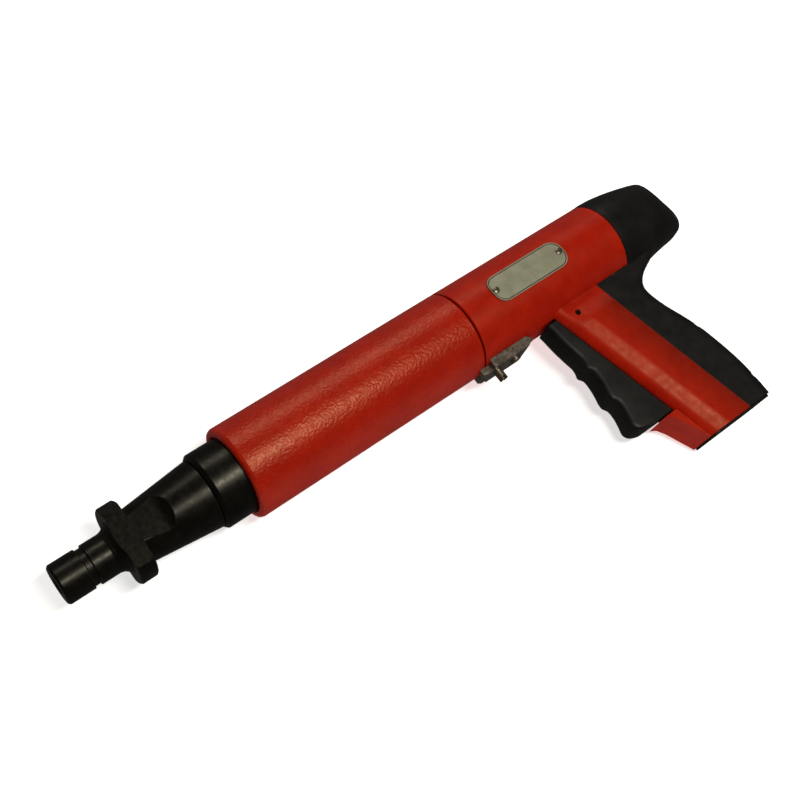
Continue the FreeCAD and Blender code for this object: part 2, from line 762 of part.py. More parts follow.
breech = new_body("breech_block")
turn(breech, [
    ("breech_front", "pin_tip_radius + slide_gap"),
    ("breech_front", "housing_bore"),
    ("breech_back", "housing_bore"),
    ("breech_back", "pin_tip_radius + slide_gap"),
])
cut(breech, circles(breech, ROD_HOLE, "rod_radius + slide_gap + 0.1", "YZ_Plane", "breech_front - 1"),
    "breech_width + 2", reverse=True)
cut(breech, outline(breech, [
    ("-housing_bore - 1", "bar_inner - slide_gap"),
    ("-bar_drop + bar_height + slide_gap", "bar_inner - slide_gap"),
    ("-bar_drop + bar_height + slide_gap", "bar_inner + bar_thickness + slide_gap"),
    ("-housing_bore - 1", "bar_inner + bar_thickness + slide_gap"),
], "YZ_Plane", "breech_front - 1"), "breech_width + 2", reverse=True)
# Two ears behind the block carry the sear's pin.
for side in ("", "-"):
    pad(breech, outline(breech, [
        ("breech_back - 1", side + "(sear_half_width + 0.4)"),
        ("breech_back + 7.6", side + "(sear_half_width + 0.4)"),
        ("breech_back + 7.6", side + "(sear_half_width + 2.4)"),
        ("breech_back - 1", side + "(sear_half_width + 2.4)"),
    ], "XZ_Plane", "guide_radius + 0.3"), "5.6")
cut(breech, circles(breech, [("sear_x", "-sear_drop")], "sear_pin_radius"), "20", both_ways=True)

guide = new_body("firing_pin_guide")
turn(guide, [
    ("breech_back", "guide_bore"),
    ("breech_back", "guide_radius"),
    ("spring_back", "guide_radius"),
    ("spring_back", "guide_bore"),
])
# A side slot lets the cocking arm reach the pin, and a window below lets the sear in.
cut(guide, outline(guide, [
    ("arm_front - 0.5", "0"),
    ("arm_back + press_travel + 0.7", "0"),
    ("arm_back + press_travel + 0.7", "-guide_radius - 1"),
    ("arm_front - 0.5", "-guide_radius - 1"),
], "XZ_Plane"), "5", both_ways=True)
cut(guide, outline(guide, [
    ("sear_x + 3.2", "0"),
    ("sear_x + 11.4", "0"),
    ("sear_x + 11.4", "-guide_radius - 1"),
    ("sear_x + 3.2", "-guide_radius - 1"),
]), "2 * sear_half_width + 1", both_ways=True)

pin = new_body("firing_pin")
turn(pin, [
    ("breech_front + 1", "0"),
    ("breech_front + 1.6", "pin_tip_radius"),
    ("pin_shoulder", "pin_tip_radius"),
    ("pin_shoulder", "pin_radius"),
    ("pin_shoulder + pin_head_length", "pin_radius"),
    ("pin_shoulder + pin_head_length", "pin_neck_radius"),
    ("pin_collar_front", "pin_neck_radius"),
    ("pin_collar_front", "pin_radius"),
    ("pin_collar_back", "pin_radius"),
    ("pin_collar_back", "pin_tail_radius"),
    ("pin_collar_back + firing_spring_length - press_travel - 2", "pin_tail_radius"),
    ("pin_collar_back + firing_spring_length - press_travel - 2", "0"),
])
coil("firing_spring", "pin_collar_back", "spring_back", "pin_tail_radius + 1.6", "0.6", 8)
plug = new_body("spring_plug")
turn(plug, [
    ("spring_back", "0"),
    ("spring_back", "guide_radius"),
    ("plug_back", "guide_radius"),
    ("plug_back", "0"),
])

sear = new_body("sear")
pad(sear, outline(sear, [
    ("sear_x - 2.2", "-sear_drop + 2.3"),
    ("sear_x + 2.4", "-sear_drop + 2.3"),
    ("sear_x + 7.6", "-guide_bore"),
    ("cocked_shoulder - 0.3", "-guide_bore"),
    ("cocked_shoulder - 0.3", "-guide_bore - 2.6"),
    ("sear_x + 2.5", "-sear_drop - 1.2"),
    ("sear_x + 1.8", "-sear_drop - 1.8"),
    ("sear_x + 1.8", "-bar_drop - 0.2"),
    ("sear_x - 1.3", "-bar_drop - 0.2"),
    ("sear_x - 2.2", "-sear_drop - 2.0"),
]), "2 * sear_half_width", both_ways=True)
cut(sear, circles(sear, [("sear_x", "-sear_drop")], "sear_pin_radius + pin_gap"), "20", both_ways=True)
sear_pin = new_body("sear_pin")
pad(sear_pin, circles(sear_pin, [("sear_x", "-sear_drop")], "sear_pin_radius"),
    "2 * sear_half_width + 4.6", both_ways=True)
coil("sear_spring", "-housing_bore + 0.1", "-guide_bore - 4.2", "1.2", "0.3", 4, "Y", ("sear_x + 7.6", "0"))

# ---------------------------------------------------------------- trigger and bar

# The trigger's front from top to bottom: how far before the pivot, and how far down as a share
# of the trigger's own height. Three ridges part the fingers.
RIDGES = [
    (15.8, 0.006), (15.4, 0.136), (12.6, 0.249), (12.2, 0.347), (13.1, 0.398), (11.4, 0.475),
    (11.6, 0.573), (13.2, 0.652), (12.0, 0.739), (12.2, 0.845), (14.0, 0.938),
]
TRIGGER_FRONT = [("pivot_x - %s" % ahead, "-grip_top - %s * trigger_drop" % down) for ahead, down in RIDGES]
trigger = new_body("trigger")
pad(trigger, outline(trigger, TRIGGER_FRONT + [
    ("pivot_x - 12.0", "-trigger_bottom + 2.4"),
    ("pivot_x - 9.4", "-trigger_bottom + 0.6"),
    ("pivot_x - 6.0", "-trigger_bottom"),
    (rake("grip_front_top", "trigger_bottom") + " + 1.1", "-trigger_bottom"),
    ("pivot_x + 3.4", "-pivot_drop - 6"),
    ("pivot_x + 4.0", "-pivot_drop + 1.8"),
    ("pivot_x + 1.8", "-grip_top + 0.9"),
    ("pivot_x - 6.0", "-grip_top - 0.4"),
]), "2 * trigger_half_width", both_ways=True)
# The heel reaches up through the housing's floor and moves the bar.
pad(trigger, outline(trigger, [
    ("pivot_x - 1.3", "-pivot_drop"),
    ("pivot_x + 1.3", "-pivot_drop"),
    ("pivot_x + 1.3", "-housing_bore + 2.4"),
    ("pivot_x - 1.3", "-housing_bore + 2.4"),
], shift="bar_inner"), "bar_thickness")
cut(trigger, circles(trigger, [("pivot_x", "-pivot_drop")], "pivot_pin_radius + pin_gap"),
    "4 * trigger_half_width", both_ways=True)
SPRING_DROP = "-pivot_drop - 22"
cut(trigger, circles(trigger, [(SPRING_DROP, "0")], "3.2", "YZ_Plane", "pivot_x - 3.4"), "14", reverse=True)
trigger_pin = new_body("trigger_pin")
pad(trigger_pin, circles(trigger_pin, [("pivot_x", "-pivot_drop")], "pivot_pin_radius"),
    "2 * (grip_half_width - pivot_recess)", both_ways=True)
coil("trigger_spring", "pivot_x - 3.4", "pivot_x + 7.6", "2.2", "0.45", 6, "X", (SPRING_DROP, "0"))

bar = new_body("trigger_bar")
pad(bar, outline(bar, [
    ("pivot_x - 4.0", "-bar_drop + bar_height"),
    ("pivot_x - 4.0", "-housing_bore - 0.6"),
    ("pivot_x - 1.7", "-housing_bore - 0.6"),
    ("pivot_x - 1.7", "-housing_bore + 2.8"),
    ("pivot_x + 1.7", "-housing_bore + 2.8"),
    ("pivot_x + 1.7", "-housing_bore - 0.6"),
    ("pivot_x + 4.0", "-housing_bore - 0.6"),
    ("pivot_x + 4.0", "-bar_drop"),
    ("sear_x + 4.1", "-bar_drop"),
    ("sear_x + 4.1", "-bar_drop + bar_height"),
], shift="bar_inner"), "bar_thickness")
pad(bar, outline(bar, [
    ("sear_x + 2.3", "-bar_drop"),
    ("sear_x + 4.1", "-bar_drop"),
    ("sear_x + 4.1", "-bar_drop + 1.1"),
    ("sear_x + 2.3", "-bar_drop + 1.1"),
]), "bar_inner + bar_thickness")

# ---------------------------------------------------------------- rear cap with backstrap, base plate


def cap_section(top, bottom, half_width, squareness):
    """A closed, rounded cross-section of the cap, in the plane through its top and bottom points."""
    top, bottom = (FreeCAD.Vector(x, y, 0) for x, y in (top, bottom))
    middle, reach = (top + bottom) / 2, (top - bottom) / 2
    side = FreeCAD.Vector(0, 0, half_width)
    points = []
    for step in range(24):
        across = math.sin(2 * math.pi * step / 24)
        up = math.cos(2 * math.pi * step / 24)
        bulge = (abs(across) ** squareness + abs(up) ** squareness) ** (-1 / squareness)
        points.append(middle + reach * (up * bulge) + side * (across * bulge))
    curve = Part.BSplineCurve()
    curve.interpolate(points, PeriodicFlag=True)
    return Part.Wire(curve.toShape())


# Sections from the joint to the tail: how far back the top and bottom points are and how high,
# as shares of the cap's length and the body's radius, then the half width and the squareness.
CAP_SECTIONS = [
    ((0.0, 1.0), (0.0, -1.0), 1.0, 2.0),
    ((0.08, 1.01), (0.09, -0.995), 1.0, 2.02),
    ((0.20, 0.995), (0.223, -0.973), 0.968, 2.1),
    ((0.32, 0.959), (0.346, -0.950), 0.923, 2.2),
    ((0.436, 0.905), (0.465, -0.900), 0.864, 2.4),
    ((0.553, 0.845), (0.586, -0.850), 0.800, 2.55),
    ((0.67, 0.795), (0.713, -0.814), 0.714, 2.7),
    ((0.77, 0.755), (0.824, -0.791), 0.586, 2.8),
    ((0.826, 0.673), (0.912, -0.727), 0.427, 2.8),
    ((0.873, 0.582), (0.967, -0.614), 0.290, 2.8),
    ((0.91, 0.40), (1.0, -0.468), 0.200, 2.6),
]
joint, reach, radius = value("housing_back"), value("cap_length"), value("body_radius")
cap_wires = [
    cap_section(
        (joint + reach * top[0], radius * top[1]),
        (joint + reach * bottom[0], radius * bottom[1]),
        radius * half_width,
        squareness,
    )
    for top, bottom, half_width, squareness in CAP_SECTIONS
]
cap_loft = doc.addObject("Part::Feature", "cap_loft")
cap_loft.Shape = Part.makeLoft(cap_wires, True, False)
cap_loft.Placement = FreeCAD.Placement()

# The backstrap, the back half of the grip, is moulded in one piece with the cap.
STRAP_BACK = [
    ("(grip_top + 0.24 * grip_drop)", "20.2"),
    ("(grip_top + 0.44 * grip_drop)", "23.6"),
    ("(grip_top + 0.735 * grip_drop)", "22.9"),
]


def behind_seam(drop, depth):
    """A place that far behind the seam between the grip and its backstrap."""
    return rake("grip_back_top", drop, "back_rake") + " + " + depth


strap = doc.addObject("PartDesign::Body", "backstrap")
strap_pad = pad(strap, outline(strap, [
    ("housing_back + 20.7", "-strap_top - 1.4"),
    ("housing_back + 11.4", "-strap_top - 5.3"),
    ("housing_back + 4.6", "-strap_top - 9.7"),
    ("housing_back + 2.6", "-strap_top - strap_hollow"),
] + [(behind_seam(drop, depth), "-" + drop) for drop, depth in STRAP_BACK] + [
    (behind_seam(SHELL_BOTTOM, "18.3"), "-grip_bottom + base_thickness"),
    (rake("grip_back_top", SHELL_BOTTOM, "back_rake"), "-grip_bottom + base_thickness"),
    (rake("grip_back_top", "strap_top", "back_rake"), "-strap_top"),
    ("housing_back", "-strap_top"),
    ("housing_back", "-strap_top + 5"),
    ("housing_back + 20.7", "-strap_top + 5"),
]), "2 * grip_half_width", both_ways=True)
strap_bends = [
    ("-strap_top - 9.7", "5"),
    ("-strap_top - strap_hollow", "5"),
    ("-" + STRAP_BACK[0][0], "2.5 * (%s - strap_top - strap_hollow)" % STRAP_BACK[0][0]),
    ("-" + STRAP_BACK[1][0], "0.45 * grip_drop"),
    ("-" + STRAP_BACK[2][0], "0.68 * grip_drop"),
]
rounded = strap_pad
for height, bend in strap_bends:
    rounded = round_edges(strap, rounded, bend,
                          lambda p, height=height: near(p.y, height) and p.x > value("housing_back"))
cut(strap, outline(strap, CHANNEL), "strip_width", both_ways=True)
# Four screws hold the backstrap: how far down each pair is, and where its heads sit.
STRAP_SCREWS = [
    ("(grip_bottom - top_screws_above_foot)", "20.4"),
    ("(grip_bottom - bottom_screws_above_foot)", "17.8"),
]


def screw_circles(body, drop, radius, place):
    """A pair of circles, one on each side of the strip's passage."""
    pair = [("-" + drop, "strap_screw_z"), ("-" + drop, "-strap_screw_z")]
    return circles(body, pair, radius, "YZ_Plane", place)


screws = new_body("backstrap_screws")
for drop, depth in STRAP_SCREWS:
    head = behind_seam(drop, depth)
    tip = rake("grip_back_top", drop, "back_rake") + " - strap_screw_grip"
    cut(housing, screw_circles(housing, drop, "strap_screw_radius", tip), "strap_screw_grip + 5", reverse=True)
    cut(strap, screw_circles(strap, drop, "strap_screw_radius", tip), "60", reverse=True)
    cut(strap, screw_circles(strap, drop, "strap_screw_radius + 1.4", head), "30", reverse=True)
    pad(screws, screw_circles(screws, drop, "strap_screw_radius", tip), head + " - (" + tip + ")")
    pad(screws, screw_circles(screws, drop, "strap_screw_radius + 1.3", head), "1.8")

# Inside the cap: room for the mechanism, then a close bore that holds the firing pin's guide.
cap_hollow = solid("Cylinder", "cap_hollow", {
    "Radius": "housing_bore",
    "Height": "arm_back + press_travel + 2.5 - housing_back + 1",
    "Placement.Base.x": "housing_back - 1",
})
guide_seat = solid("Cylinder", "guide_seat", {
    "Radius": "guide_radius",
    "Height": "plug_back - housing_back",
    "Placement.Base.x": "housing_back",
})
for hollow in (cap_hollow, guide_seat):
    hollow.Placement.Rotation = FreeCAD.Rotation(FreeCAD.Vector(0, 1, 0), 90)
moulding = boolean("Fuse", "cap_moulding", cap_loft, strap)
cap = boolean("Cut", "rear_cap", boolean("Cut", "cap_opened", moulding, cap_hollow), guide_seat)
cap.Label = "rear_cap"
PARTS.append(cap)

base = new_body("grip_base")
pad(base, outline(base, [
    (rake("grip_front_top", "grip_bottom") + " + 0.5", "-grip_bottom + base_thickness"),
    (rake("grip_front_top", "grip_bottom") + " + 1.2", "-grip_bottom"),
    (behind_seam(SHELL_BOTTOM, "16.2"), "-grip_bottom"),
    (behind_seam(SHELL_BOTTOM, "17.8"), "-grip_bottom + base_thickness"),
]), "2 * lip_half_width", both_ways=True)
cut(base, outline(base, CHANNEL), "strip_width", both_ways=True)

# ---------------------------------------------------------------- check and write

doc.recompute()
for item in doc.Objects:
    if "Invalid" in item.State or "Error" in item.State:
        raise ValueError("%s could not be built" % item.Label)
os.makedirs("parts", exist_ok=True)
for part in PARTS:
    shape = part.Shape
    if shape.isNull() or not shape.isValid() or not shape.Solids:
        raise ValueError("%s is not a valid solid" % part.Label)
    shape.exportStep("parts/%s.step" % part.Label)
    print("%-20s %2d solid(s) %10.1f mm3" % (part.Label, len(shape.Solids), shape.Volume))
print(len(PARTS), "nodes")
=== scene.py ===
# %% [markdown]
# # Powder-actuated nail gun
# A nail gun of this kind is a steel barrel that slides in a red tube, with a moulded grip under its
# back end. The fixed frame, loaded below, already holds every piece at its real size. This lesson
# builds the visible pieces again with softer edges and finer detail, and gives every piece its finish.

# %% Load the frame
import json
import math
import bmesh
import bpy
from mathutils import Matrix, Vector


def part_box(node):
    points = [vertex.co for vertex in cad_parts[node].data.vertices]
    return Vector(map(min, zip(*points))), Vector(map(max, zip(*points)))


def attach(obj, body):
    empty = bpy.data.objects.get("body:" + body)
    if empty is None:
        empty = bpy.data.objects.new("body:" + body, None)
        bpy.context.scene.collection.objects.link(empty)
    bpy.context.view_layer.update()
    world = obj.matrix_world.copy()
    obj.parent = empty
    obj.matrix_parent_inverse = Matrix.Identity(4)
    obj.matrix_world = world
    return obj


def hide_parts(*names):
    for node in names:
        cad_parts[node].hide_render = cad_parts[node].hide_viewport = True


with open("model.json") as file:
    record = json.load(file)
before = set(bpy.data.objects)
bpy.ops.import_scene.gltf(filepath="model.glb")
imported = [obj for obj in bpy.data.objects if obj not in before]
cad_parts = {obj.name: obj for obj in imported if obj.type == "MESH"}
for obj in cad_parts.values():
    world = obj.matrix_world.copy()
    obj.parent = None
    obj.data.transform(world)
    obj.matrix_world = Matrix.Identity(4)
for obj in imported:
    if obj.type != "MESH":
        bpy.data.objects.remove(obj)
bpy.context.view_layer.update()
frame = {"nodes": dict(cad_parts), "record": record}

NODES = frame["nodes"]
MM = 0.001
print("pieces in the frame:", len(NODES))

# %% [markdown]
# ## Helpers for shapes
# Turned steel and tube are drawn as half a cross-section and spun about the barrel axis. Real turned
# corners are never knife sharp, so every corner of a section is first rounded by a small arc: that is
# what catches the light. Milled cuts are then taken out with exact booleans, as a cutter would.

# %% From points to a finished piece


def piece_from(name, points, faces, crease=38.0):
    """Makes an object from points in millimetres, with outward faces and sharp edges kept."""
    mesh = bpy.data.meshes.new(name)
    mesh.from_pydata([Vector(p) * MM for p in points], [], faces)
    shape = bmesh.new()
    shape.from_mesh(mesh)
    bmesh.ops.remove_doubles(shape, verts=shape.verts, dist=0.002 * MM)
    bmesh.ops.recalc_face_normals(shape, faces=shape.faces)
    shape.to_mesh(mesh)
    shape.free()
    piece = bpy.data.objects.new(name, mesh)
    bpy.context.scene.collection.objects.link(piece)
    shade(piece, crease)
    return piece


def shade(piece, crease=38.0):
    """Smooth shading that breaks at edges sharper than crease degrees."""
    mesh = piece.data
    mesh.polygons.foreach_set("use_smooth", [True] * len(mesh.polygons))
    mesh.set_sharp_from_angle(angle=math.radians(crease))
    mesh.update()


print("mesh helpers ready")

# %% Soft sections, spins and lofts


def soften(corners, radius, steps=4):
    """Rounds each corner of a closed outline with an arc of up to that radius."""
    soft = []
    count = len(corners)
    for i in range(count):
        here = Vector(corners[i])
        back = Vector(corners[i - 1]) - here
        ahead = Vector(corners[(i + 1) % count]) - here
        turn = math.pi - back.angle(ahead, math.pi)
        if turn < math.radians(12) or min(back.length, ahead.length) < 1e-6:
            soft.append(tuple(here))
            continue
        reach = min(radius * math.tan(turn / 2), 0.42 * back.length, 0.42 * ahead.length)
        start, end = here + back.normalized() * reach, here + ahead.normalized() * reach
        for step in range(steps + 1):
            t = step / steps
            soft.append(tuple(start * (1 - t) ** 2 + here * 2 * t * (1 - t) + end * t ** 2))
    return soft


def spun(name, section, segments=160, axis="X", centre=(0, 0, 0)):
    """Spins a closed half section, pairs of (place, radius), into a solid."""
    points, faces = [], []
    rows = len(section)
    for step in range(segments):
        angle = 2 * math.pi * step / segments
        for place, radius in section:
            across, up = max(radius, 0) * math.cos(angle), max(radius, 0) * math.sin(angle)
            point = (place, across, up) if axis == "X" else (across, place, up)
            points.append(Vector(point) + Vector(centre))
    for step in range(segments):
        here, following = step * rows, ((step + 1) % segments) * rows
        for i in range(rows):
            j = (i + 1) % rows
            if section[i][1] <= 0 and section[j][1] <= 0:
                continue
            faces.append((here + i, here + j, following + j, following + i))
    return piece_from(name, points, faces)


def lofted(name, loops, crease=38.0):
    """Joins a row of closed loops, each with as many points, and closes both ends."""
    count = len(loops[0])
    points = [p for loop in loops for p in loop]
    faces = []
    for row in range(len(loops) - 1):
        for i in range(count):
            j = (i + 1) % count
            faces.append((row * count + i, row * count + j, (row + 1) * count + j, (row + 1) * count + i))
    faces.append(tuple(range(count)))
    faces.append(tuple((len(loops) - 1) * count + i for i in range(count)))
    return piece_from(name, points, faces, crease)


def prism(name, outline, low, high, axis="Z"):
    """A flat outline pulled straight through, from low to high along an axis."""
    def at(a, b, level):
        return {"Z": (a, b, level), "Y": (a, level, b), "X": (level, a, b)}[axis]
    return lofted(name, [[at(a, b, level) for a, b in outline] for level in (low, high)])


print("shape helpers ready")

# %% Modifiers, applied at once


def apply_modifiers(piece):
    """Turns what the modifiers show into the piece's own mesh."""
    bpy.context.view_layer.update()
    graph = bpy.context.evaluated_depsgraph_get()
    mesh = bpy.data.meshes.new_from_object(piece.evaluated_get(graph))
    piece.modifiers.clear()
    piece.data = mesh
    return piece


def combine(piece, tools, operation="DIFFERENCE"):
    """Cuts each tool out of the piece, or joins it on, and throws the tool away."""
    for tool in tools:
        boolean = piece.modifiers.new("cut", "BOOLEAN")
        boolean.operation = operation
        boolean.solver = "EXACT"
        boolean.object = tool
        apply_modifiers(piece)
        bpy.data.objects.remove(tool)
    return piece


def ease_edges(piece, width, limit=32.0, segments=3):
    """Rounds the piece's sharp edges a little and evens out its shading."""
    bevel = piece.modifiers.new("edges", "BEVEL")
    bevel.width = width * MM
    bevel.segments = segments
    bevel.limit_method = "ANGLE"
    bevel.angle_limit = math.radians(limit)
    bevel.miter_outer = "MITER_ARC"
    weighted = piece.modifiers.new("shading", "WEIGHTED_NORMAL")
    weighted.keep_sharp = True
    piece.data.polygons.foreach_set("use_smooth", [True] * len(piece.data.polygons))
    piece.data.set_sharp_from_angle(angle=math.radians(180))
    return apply_modifiers(piece)


print("modifier helpers ready")

# %% [markdown]
# ## Places
# The frame says where every piece starts and ends. The names below are the few stations along the
# barrel and down the grip that the pieces share, in millimetres.

# %% Stations


def low(node, axis):
    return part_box(node)[0][axis] / MM


def high(node, axis):
    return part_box(node)[1][axis] / MM


SLEEVE_FRONT = low("front_sleeve", 0)
SLEEVE_BACK = high("front_sleeve", 0)
TUBE_RADIUS = high("front_sleeve", 2)
HOUSING_BACK = 302.0
CASING_FRONT = low("barrel_casing", 0)
CASING_BACK = high("barrel_casing", 0)
CASING_RADIUS = high("barrel_casing", 2)
GRIP_FOOT = low("grip_base", 1)
GRIP_SHELL_FOOT = high("grip_base", 1)
GRIP_HALF = 11.6
TRIGGER_HALF = high("trigger", 2)
TRIGGER_FOOT = low("trigger", 1)
PIVOT = [(low("trigger_pin", axis) + high("trigger_pin", axis)) / 2 for axis in (0, 1)]
GRIP_TOP = -21.3
GRIP_LEAN = math.tan(math.radians(15.5))
SEAM_LEAN = math.tan(math.radians(14.6))
FRONT_TOP = 252.7
SEAM_TOP = 280.9
CHANNEL_FRONT = 269.0
CHANNEL_BACK = 281.5
CHANNEL_HALF = 5.3


def grip_front(y):
    """The line of the grip's front face."""
    return FRONT_TOP + (GRIP_TOP - y) * GRIP_LEAN


def grip_seam(y):
    """The line where the red half of the grip meets the black backstrap."""
    return SEAM_TOP + (GRIP_TOP - y) * SEAM_LEAN


print("sleeve from %.1f to %.1f, foot at %.1f" % (SLEEVE_FRONT, SLEEVE_BACK, GRIP_FOOT))

# %% [markdown]
# ## A smooth line through a few points
# The trigger, the lip under it and the backstrap have free curves. Each is given by a few places a
# maker would mark out, and this helper draws the smooth line through them.

# %% Smooth interpolation


def smooth_through(marks, at):
    """The value at a place, on a smooth line through (place, value) marks."""
    marks = sorted(marks)
    if at <= marks[0][0]:
        return marks[0][1]
    if at >= marks[-1][0]:
        return marks[-1][1]
    i = max(k for k in range(len(marks) - 1) if marks[k][0] <= at)
    p1, p2 = marks[i], marks[i + 1]
    p0 = marks[i - 1] if i > 0 else p1
    p3 = marks[i + 2] if i + 2 < len(marks) else p2
    span = p2[0] - p1[0]
    t = (at - p1[0]) / span
    slope1 = (p2[1] - p0[1]) / max(p2[0] - p0[0], 1e-6) * span
    slope2 = (p3[1] - p1[1]) / max(p3[0] - p1[0], 1e-6) * span
    a, b = 2 * t ** 3 - 3 * t ** 2 + 1, t ** 3 - 2 * t ** 2 + t
    c, d = -2 * t ** 3 + 3 * t ** 2, t ** 3 - t ** 2
    return a * p1[1] + b * slope1 + c * p2[1] + d * slope2


print("smooth line ready")

# %% [markdown]
# ## Finishes
# Each finish is grown from noise patterns instead of a picture, so it fits any shape and never
# repeats. Paint on a cast tube is never one colour: it varies a little in tone, it is duller in some
# places, and its skin has a fine relief. Those three things are driven from patterns placed in the
# object's own coordinates.

# %% A small kit for building finishes


class Graph:
    """One material, whose nodes are added one at a time."""

    def __init__(self, name, roughness, metallic=0.0, shine=0.5, sheen=(1, 1, 1, 1)):
        self.material = bpy.data.materials.new(name)
        self.material.use_nodes = True
        self.tree = self.material.node_tree
        self.shader = self.tree.nodes["Principled BSDF"]
        self.shader.inputs["Roughness"].default_value = roughness
        self.shader.inputs["Metallic"].default_value = metallic
        self.shader.inputs["Specular IOR Level"].default_value = shine
        self.shader.inputs["Specular Tint"].default_value = sheen
        self.where = self.tree.nodes.new("ShaderNodeTexCoord").outputs["Object"]
        self.relief = None

    def node(self, kind, **settings):
        node = self.tree.nodes.new(kind)
        for key, setting in settings.items():
            setattr(node, key, setting)
        return node

    def feed(self, socket, source):
        """Sets a socket to a constant, or links another node's output to it."""
        if hasattr(source, "is_output"):
            self.tree.links.new(source, socket)
        else:
            socket.default_value = source


print("node helper ready")

# %% Patterns and colours


class Patterns(Graph):
    """Patterns in the object's own space, so that they stay put when a piece moves."""

    def noise(self, grain, detail=3.0, rough=0.55, stretch=(1, 1, 1)):
        """A noise pattern whose blotches are about grain millimetres across."""
        mapping = self.node("ShaderNodeMapping")
        mapping.inputs["Scale"].default_value = stretch
        self.feed(mapping.inputs["Vector"], self.where)
        noise = self.node("ShaderNodeTexNoise")
        self.feed(noise.inputs["Vector"], mapping.outputs[0])
        noise.inputs["Scale"].default_value = 1000.0 / grain
        noise.inputs["Detail"].default_value = detail
        noise.inputs["Roughness"].default_value = rough
        return noise.outputs["Fac"]

    def cells(self, grain, feature="SMOOTH_F1"):
        """A pattern of small closed cells, about grain millimetres across."""
        warp = self.node("ShaderNodeVectorMath", operation="MULTIPLY_ADD")
        shift = self.node("ShaderNodeTexNoise")
        self.feed(shift.inputs["Vector"], self.where)
        shift.inputs["Scale"].default_value = 700.0 / grain
        self.feed(warp.inputs[0], shift.outputs["Color"])
        warp.inputs[1].default_value = (grain * 0.0008,) * 3
        self.feed(warp.inputs[2], self.where)
        cells = self.node("ShaderNodeTexVoronoi", feature=feature)
        self.feed(cells.inputs["Vector"], warp.outputs[0])
        cells.inputs["Scale"].default_value = 1000.0 / grain
        return cells.outputs["Distance"]

    def spread(self, pattern, low, high, first=0.0, last=1.0):
        """Stretches the part of a pattern between low and high to run from first to last."""
        spread = self.node("ShaderNodeMapRange", interpolation_type="SMOOTHSTEP")
        self.feed(spread.inputs["Value"], pattern)
        for key, number in zip(("From Min", "From Max", "To Min", "To Max"), (low, high, first, last)):
            spread.inputs[key].default_value = number
        return spread.outputs["Result"]

    def along(self, direction, start, end):
        """A pattern that rises from 0 to 1 between two places, in millimetres, along a direction."""
        place = self.node("ShaderNodeVectorMath", operation="DOT_PRODUCT")
        self.feed(place.inputs[0], self.where)
        place.inputs[1].default_value = direction
        return self.spread(place.outputs["Value"], start * MM, end * MM)

    def from_axis(self, start, end):
        """A pattern that rises from 0 to 1 between two distances from the barrel's axis."""
        across = self.node("ShaderNodeVectorMath", operation="MULTIPLY")
        self.feed(across.inputs[0], self.where)
        across.inputs[1].default_value = (0, 1, 1)
        length = self.node("ShaderNodeVectorMath", operation="LENGTH")
        self.feed(length.inputs[0], across.outputs[0])
        return self.spread(length.outputs["Value"], start * MM, end * MM)

    def blend(self, share, one, other):
        """A colour between one and other."""
        blend = self.node("ShaderNodeMix", data_type="RGBA")
        self.feed(blend.inputs["Factor"], share)
        self.feed(blend.inputs["A"], one)
        self.feed(blend.inputs["B"], other)
        return blend.outputs["Result"]

    def times(self, one, other):
        """The product of two patterns."""
        times = self.node("ShaderNodeMath", operation="MULTIPLY")
        self.feed(times.inputs[0], one)
        self.feed(times.inputs[1], other)
        return times.outputs[0]


print("pattern helper ready")

# %% Edges, relief and the finished material


class Finish(Patterns):
    """A procedural finish, built up step by step on one shader."""

    def edges(self, width):
        """A pattern that is bright within about width millimetres of an outside edge."""
        softened = self.node("ShaderNodeBevel", samples=4)
        softened.inputs["Radius"].default_value = width * MM
        true = self.node("ShaderNodeNewGeometry").outputs["Normal"]
        agree = self.node("ShaderNodeVectorMath", operation="DOT_PRODUCT")
        self.feed(agree.inputs[0], softened.outputs[0])
        self.feed(agree.inputs[1], true)
        return self.spread(agree.outputs["Value"], 0.995, 0.86)

    def soft_edges(self, width):
        """Shades sharp edges as if they had a radius of width millimetres."""
        softened = self.node("ShaderNodeBevel", samples=4)
        softened.inputs["Radius"].default_value = width * MM
        self.relief = softened.outputs[0]

    def bump(self, pattern, height, strength=1.0):
        """Adds relief: where the pattern is 1 the surface stands height millimetres prouder."""
        bump = self.node("ShaderNodeBump")
        bump.inputs["Strength"].default_value = strength
        bump.inputs["Distance"].default_value = height * MM
        self.feed(bump.inputs["Height"], pattern)
        if self.relief is not None:
            self.feed(bump.inputs["Normal"], self.relief)
        self.relief = bump.outputs[0]

    def done(self, color, roughness=None):
        """Connects colour, roughness and relief to the shader."""
        self.feed(self.shader.inputs["Base Color"], color)
        if roughness is not None:
            self.feed(self.shader.inputs["Roughness"], roughness)
        if self.relief is not None:
            self.feed(self.shader.inputs["Normal"], self.relief)
        return self.material


print("finish kit ready")

# %% [markdown]
# ## Red paint
# The sleeve is powder coated with a wrinkle finish: as the powder cures it draws itself into fine
# folds, which break a highlight into a band of small sparks. The housing has the same colour in a
# smoother coat with a faint orange peel. The cheek of the grip is slightly crowned from its front edge
# back, which a wide, low relief shows, and shade is painted into its colour, darker towards the seam.

# %% Red finishes
RED_DEEP = (0.34, 0.0062, 0.0004, 1)
RED_WARM = (0.40, 0.0090, 0.0006, 1)
RED_DUST = (0.50, 0.040, 0.012, 1)
RED_SHEEN = (1.0, 0.56, 0.34, 1)


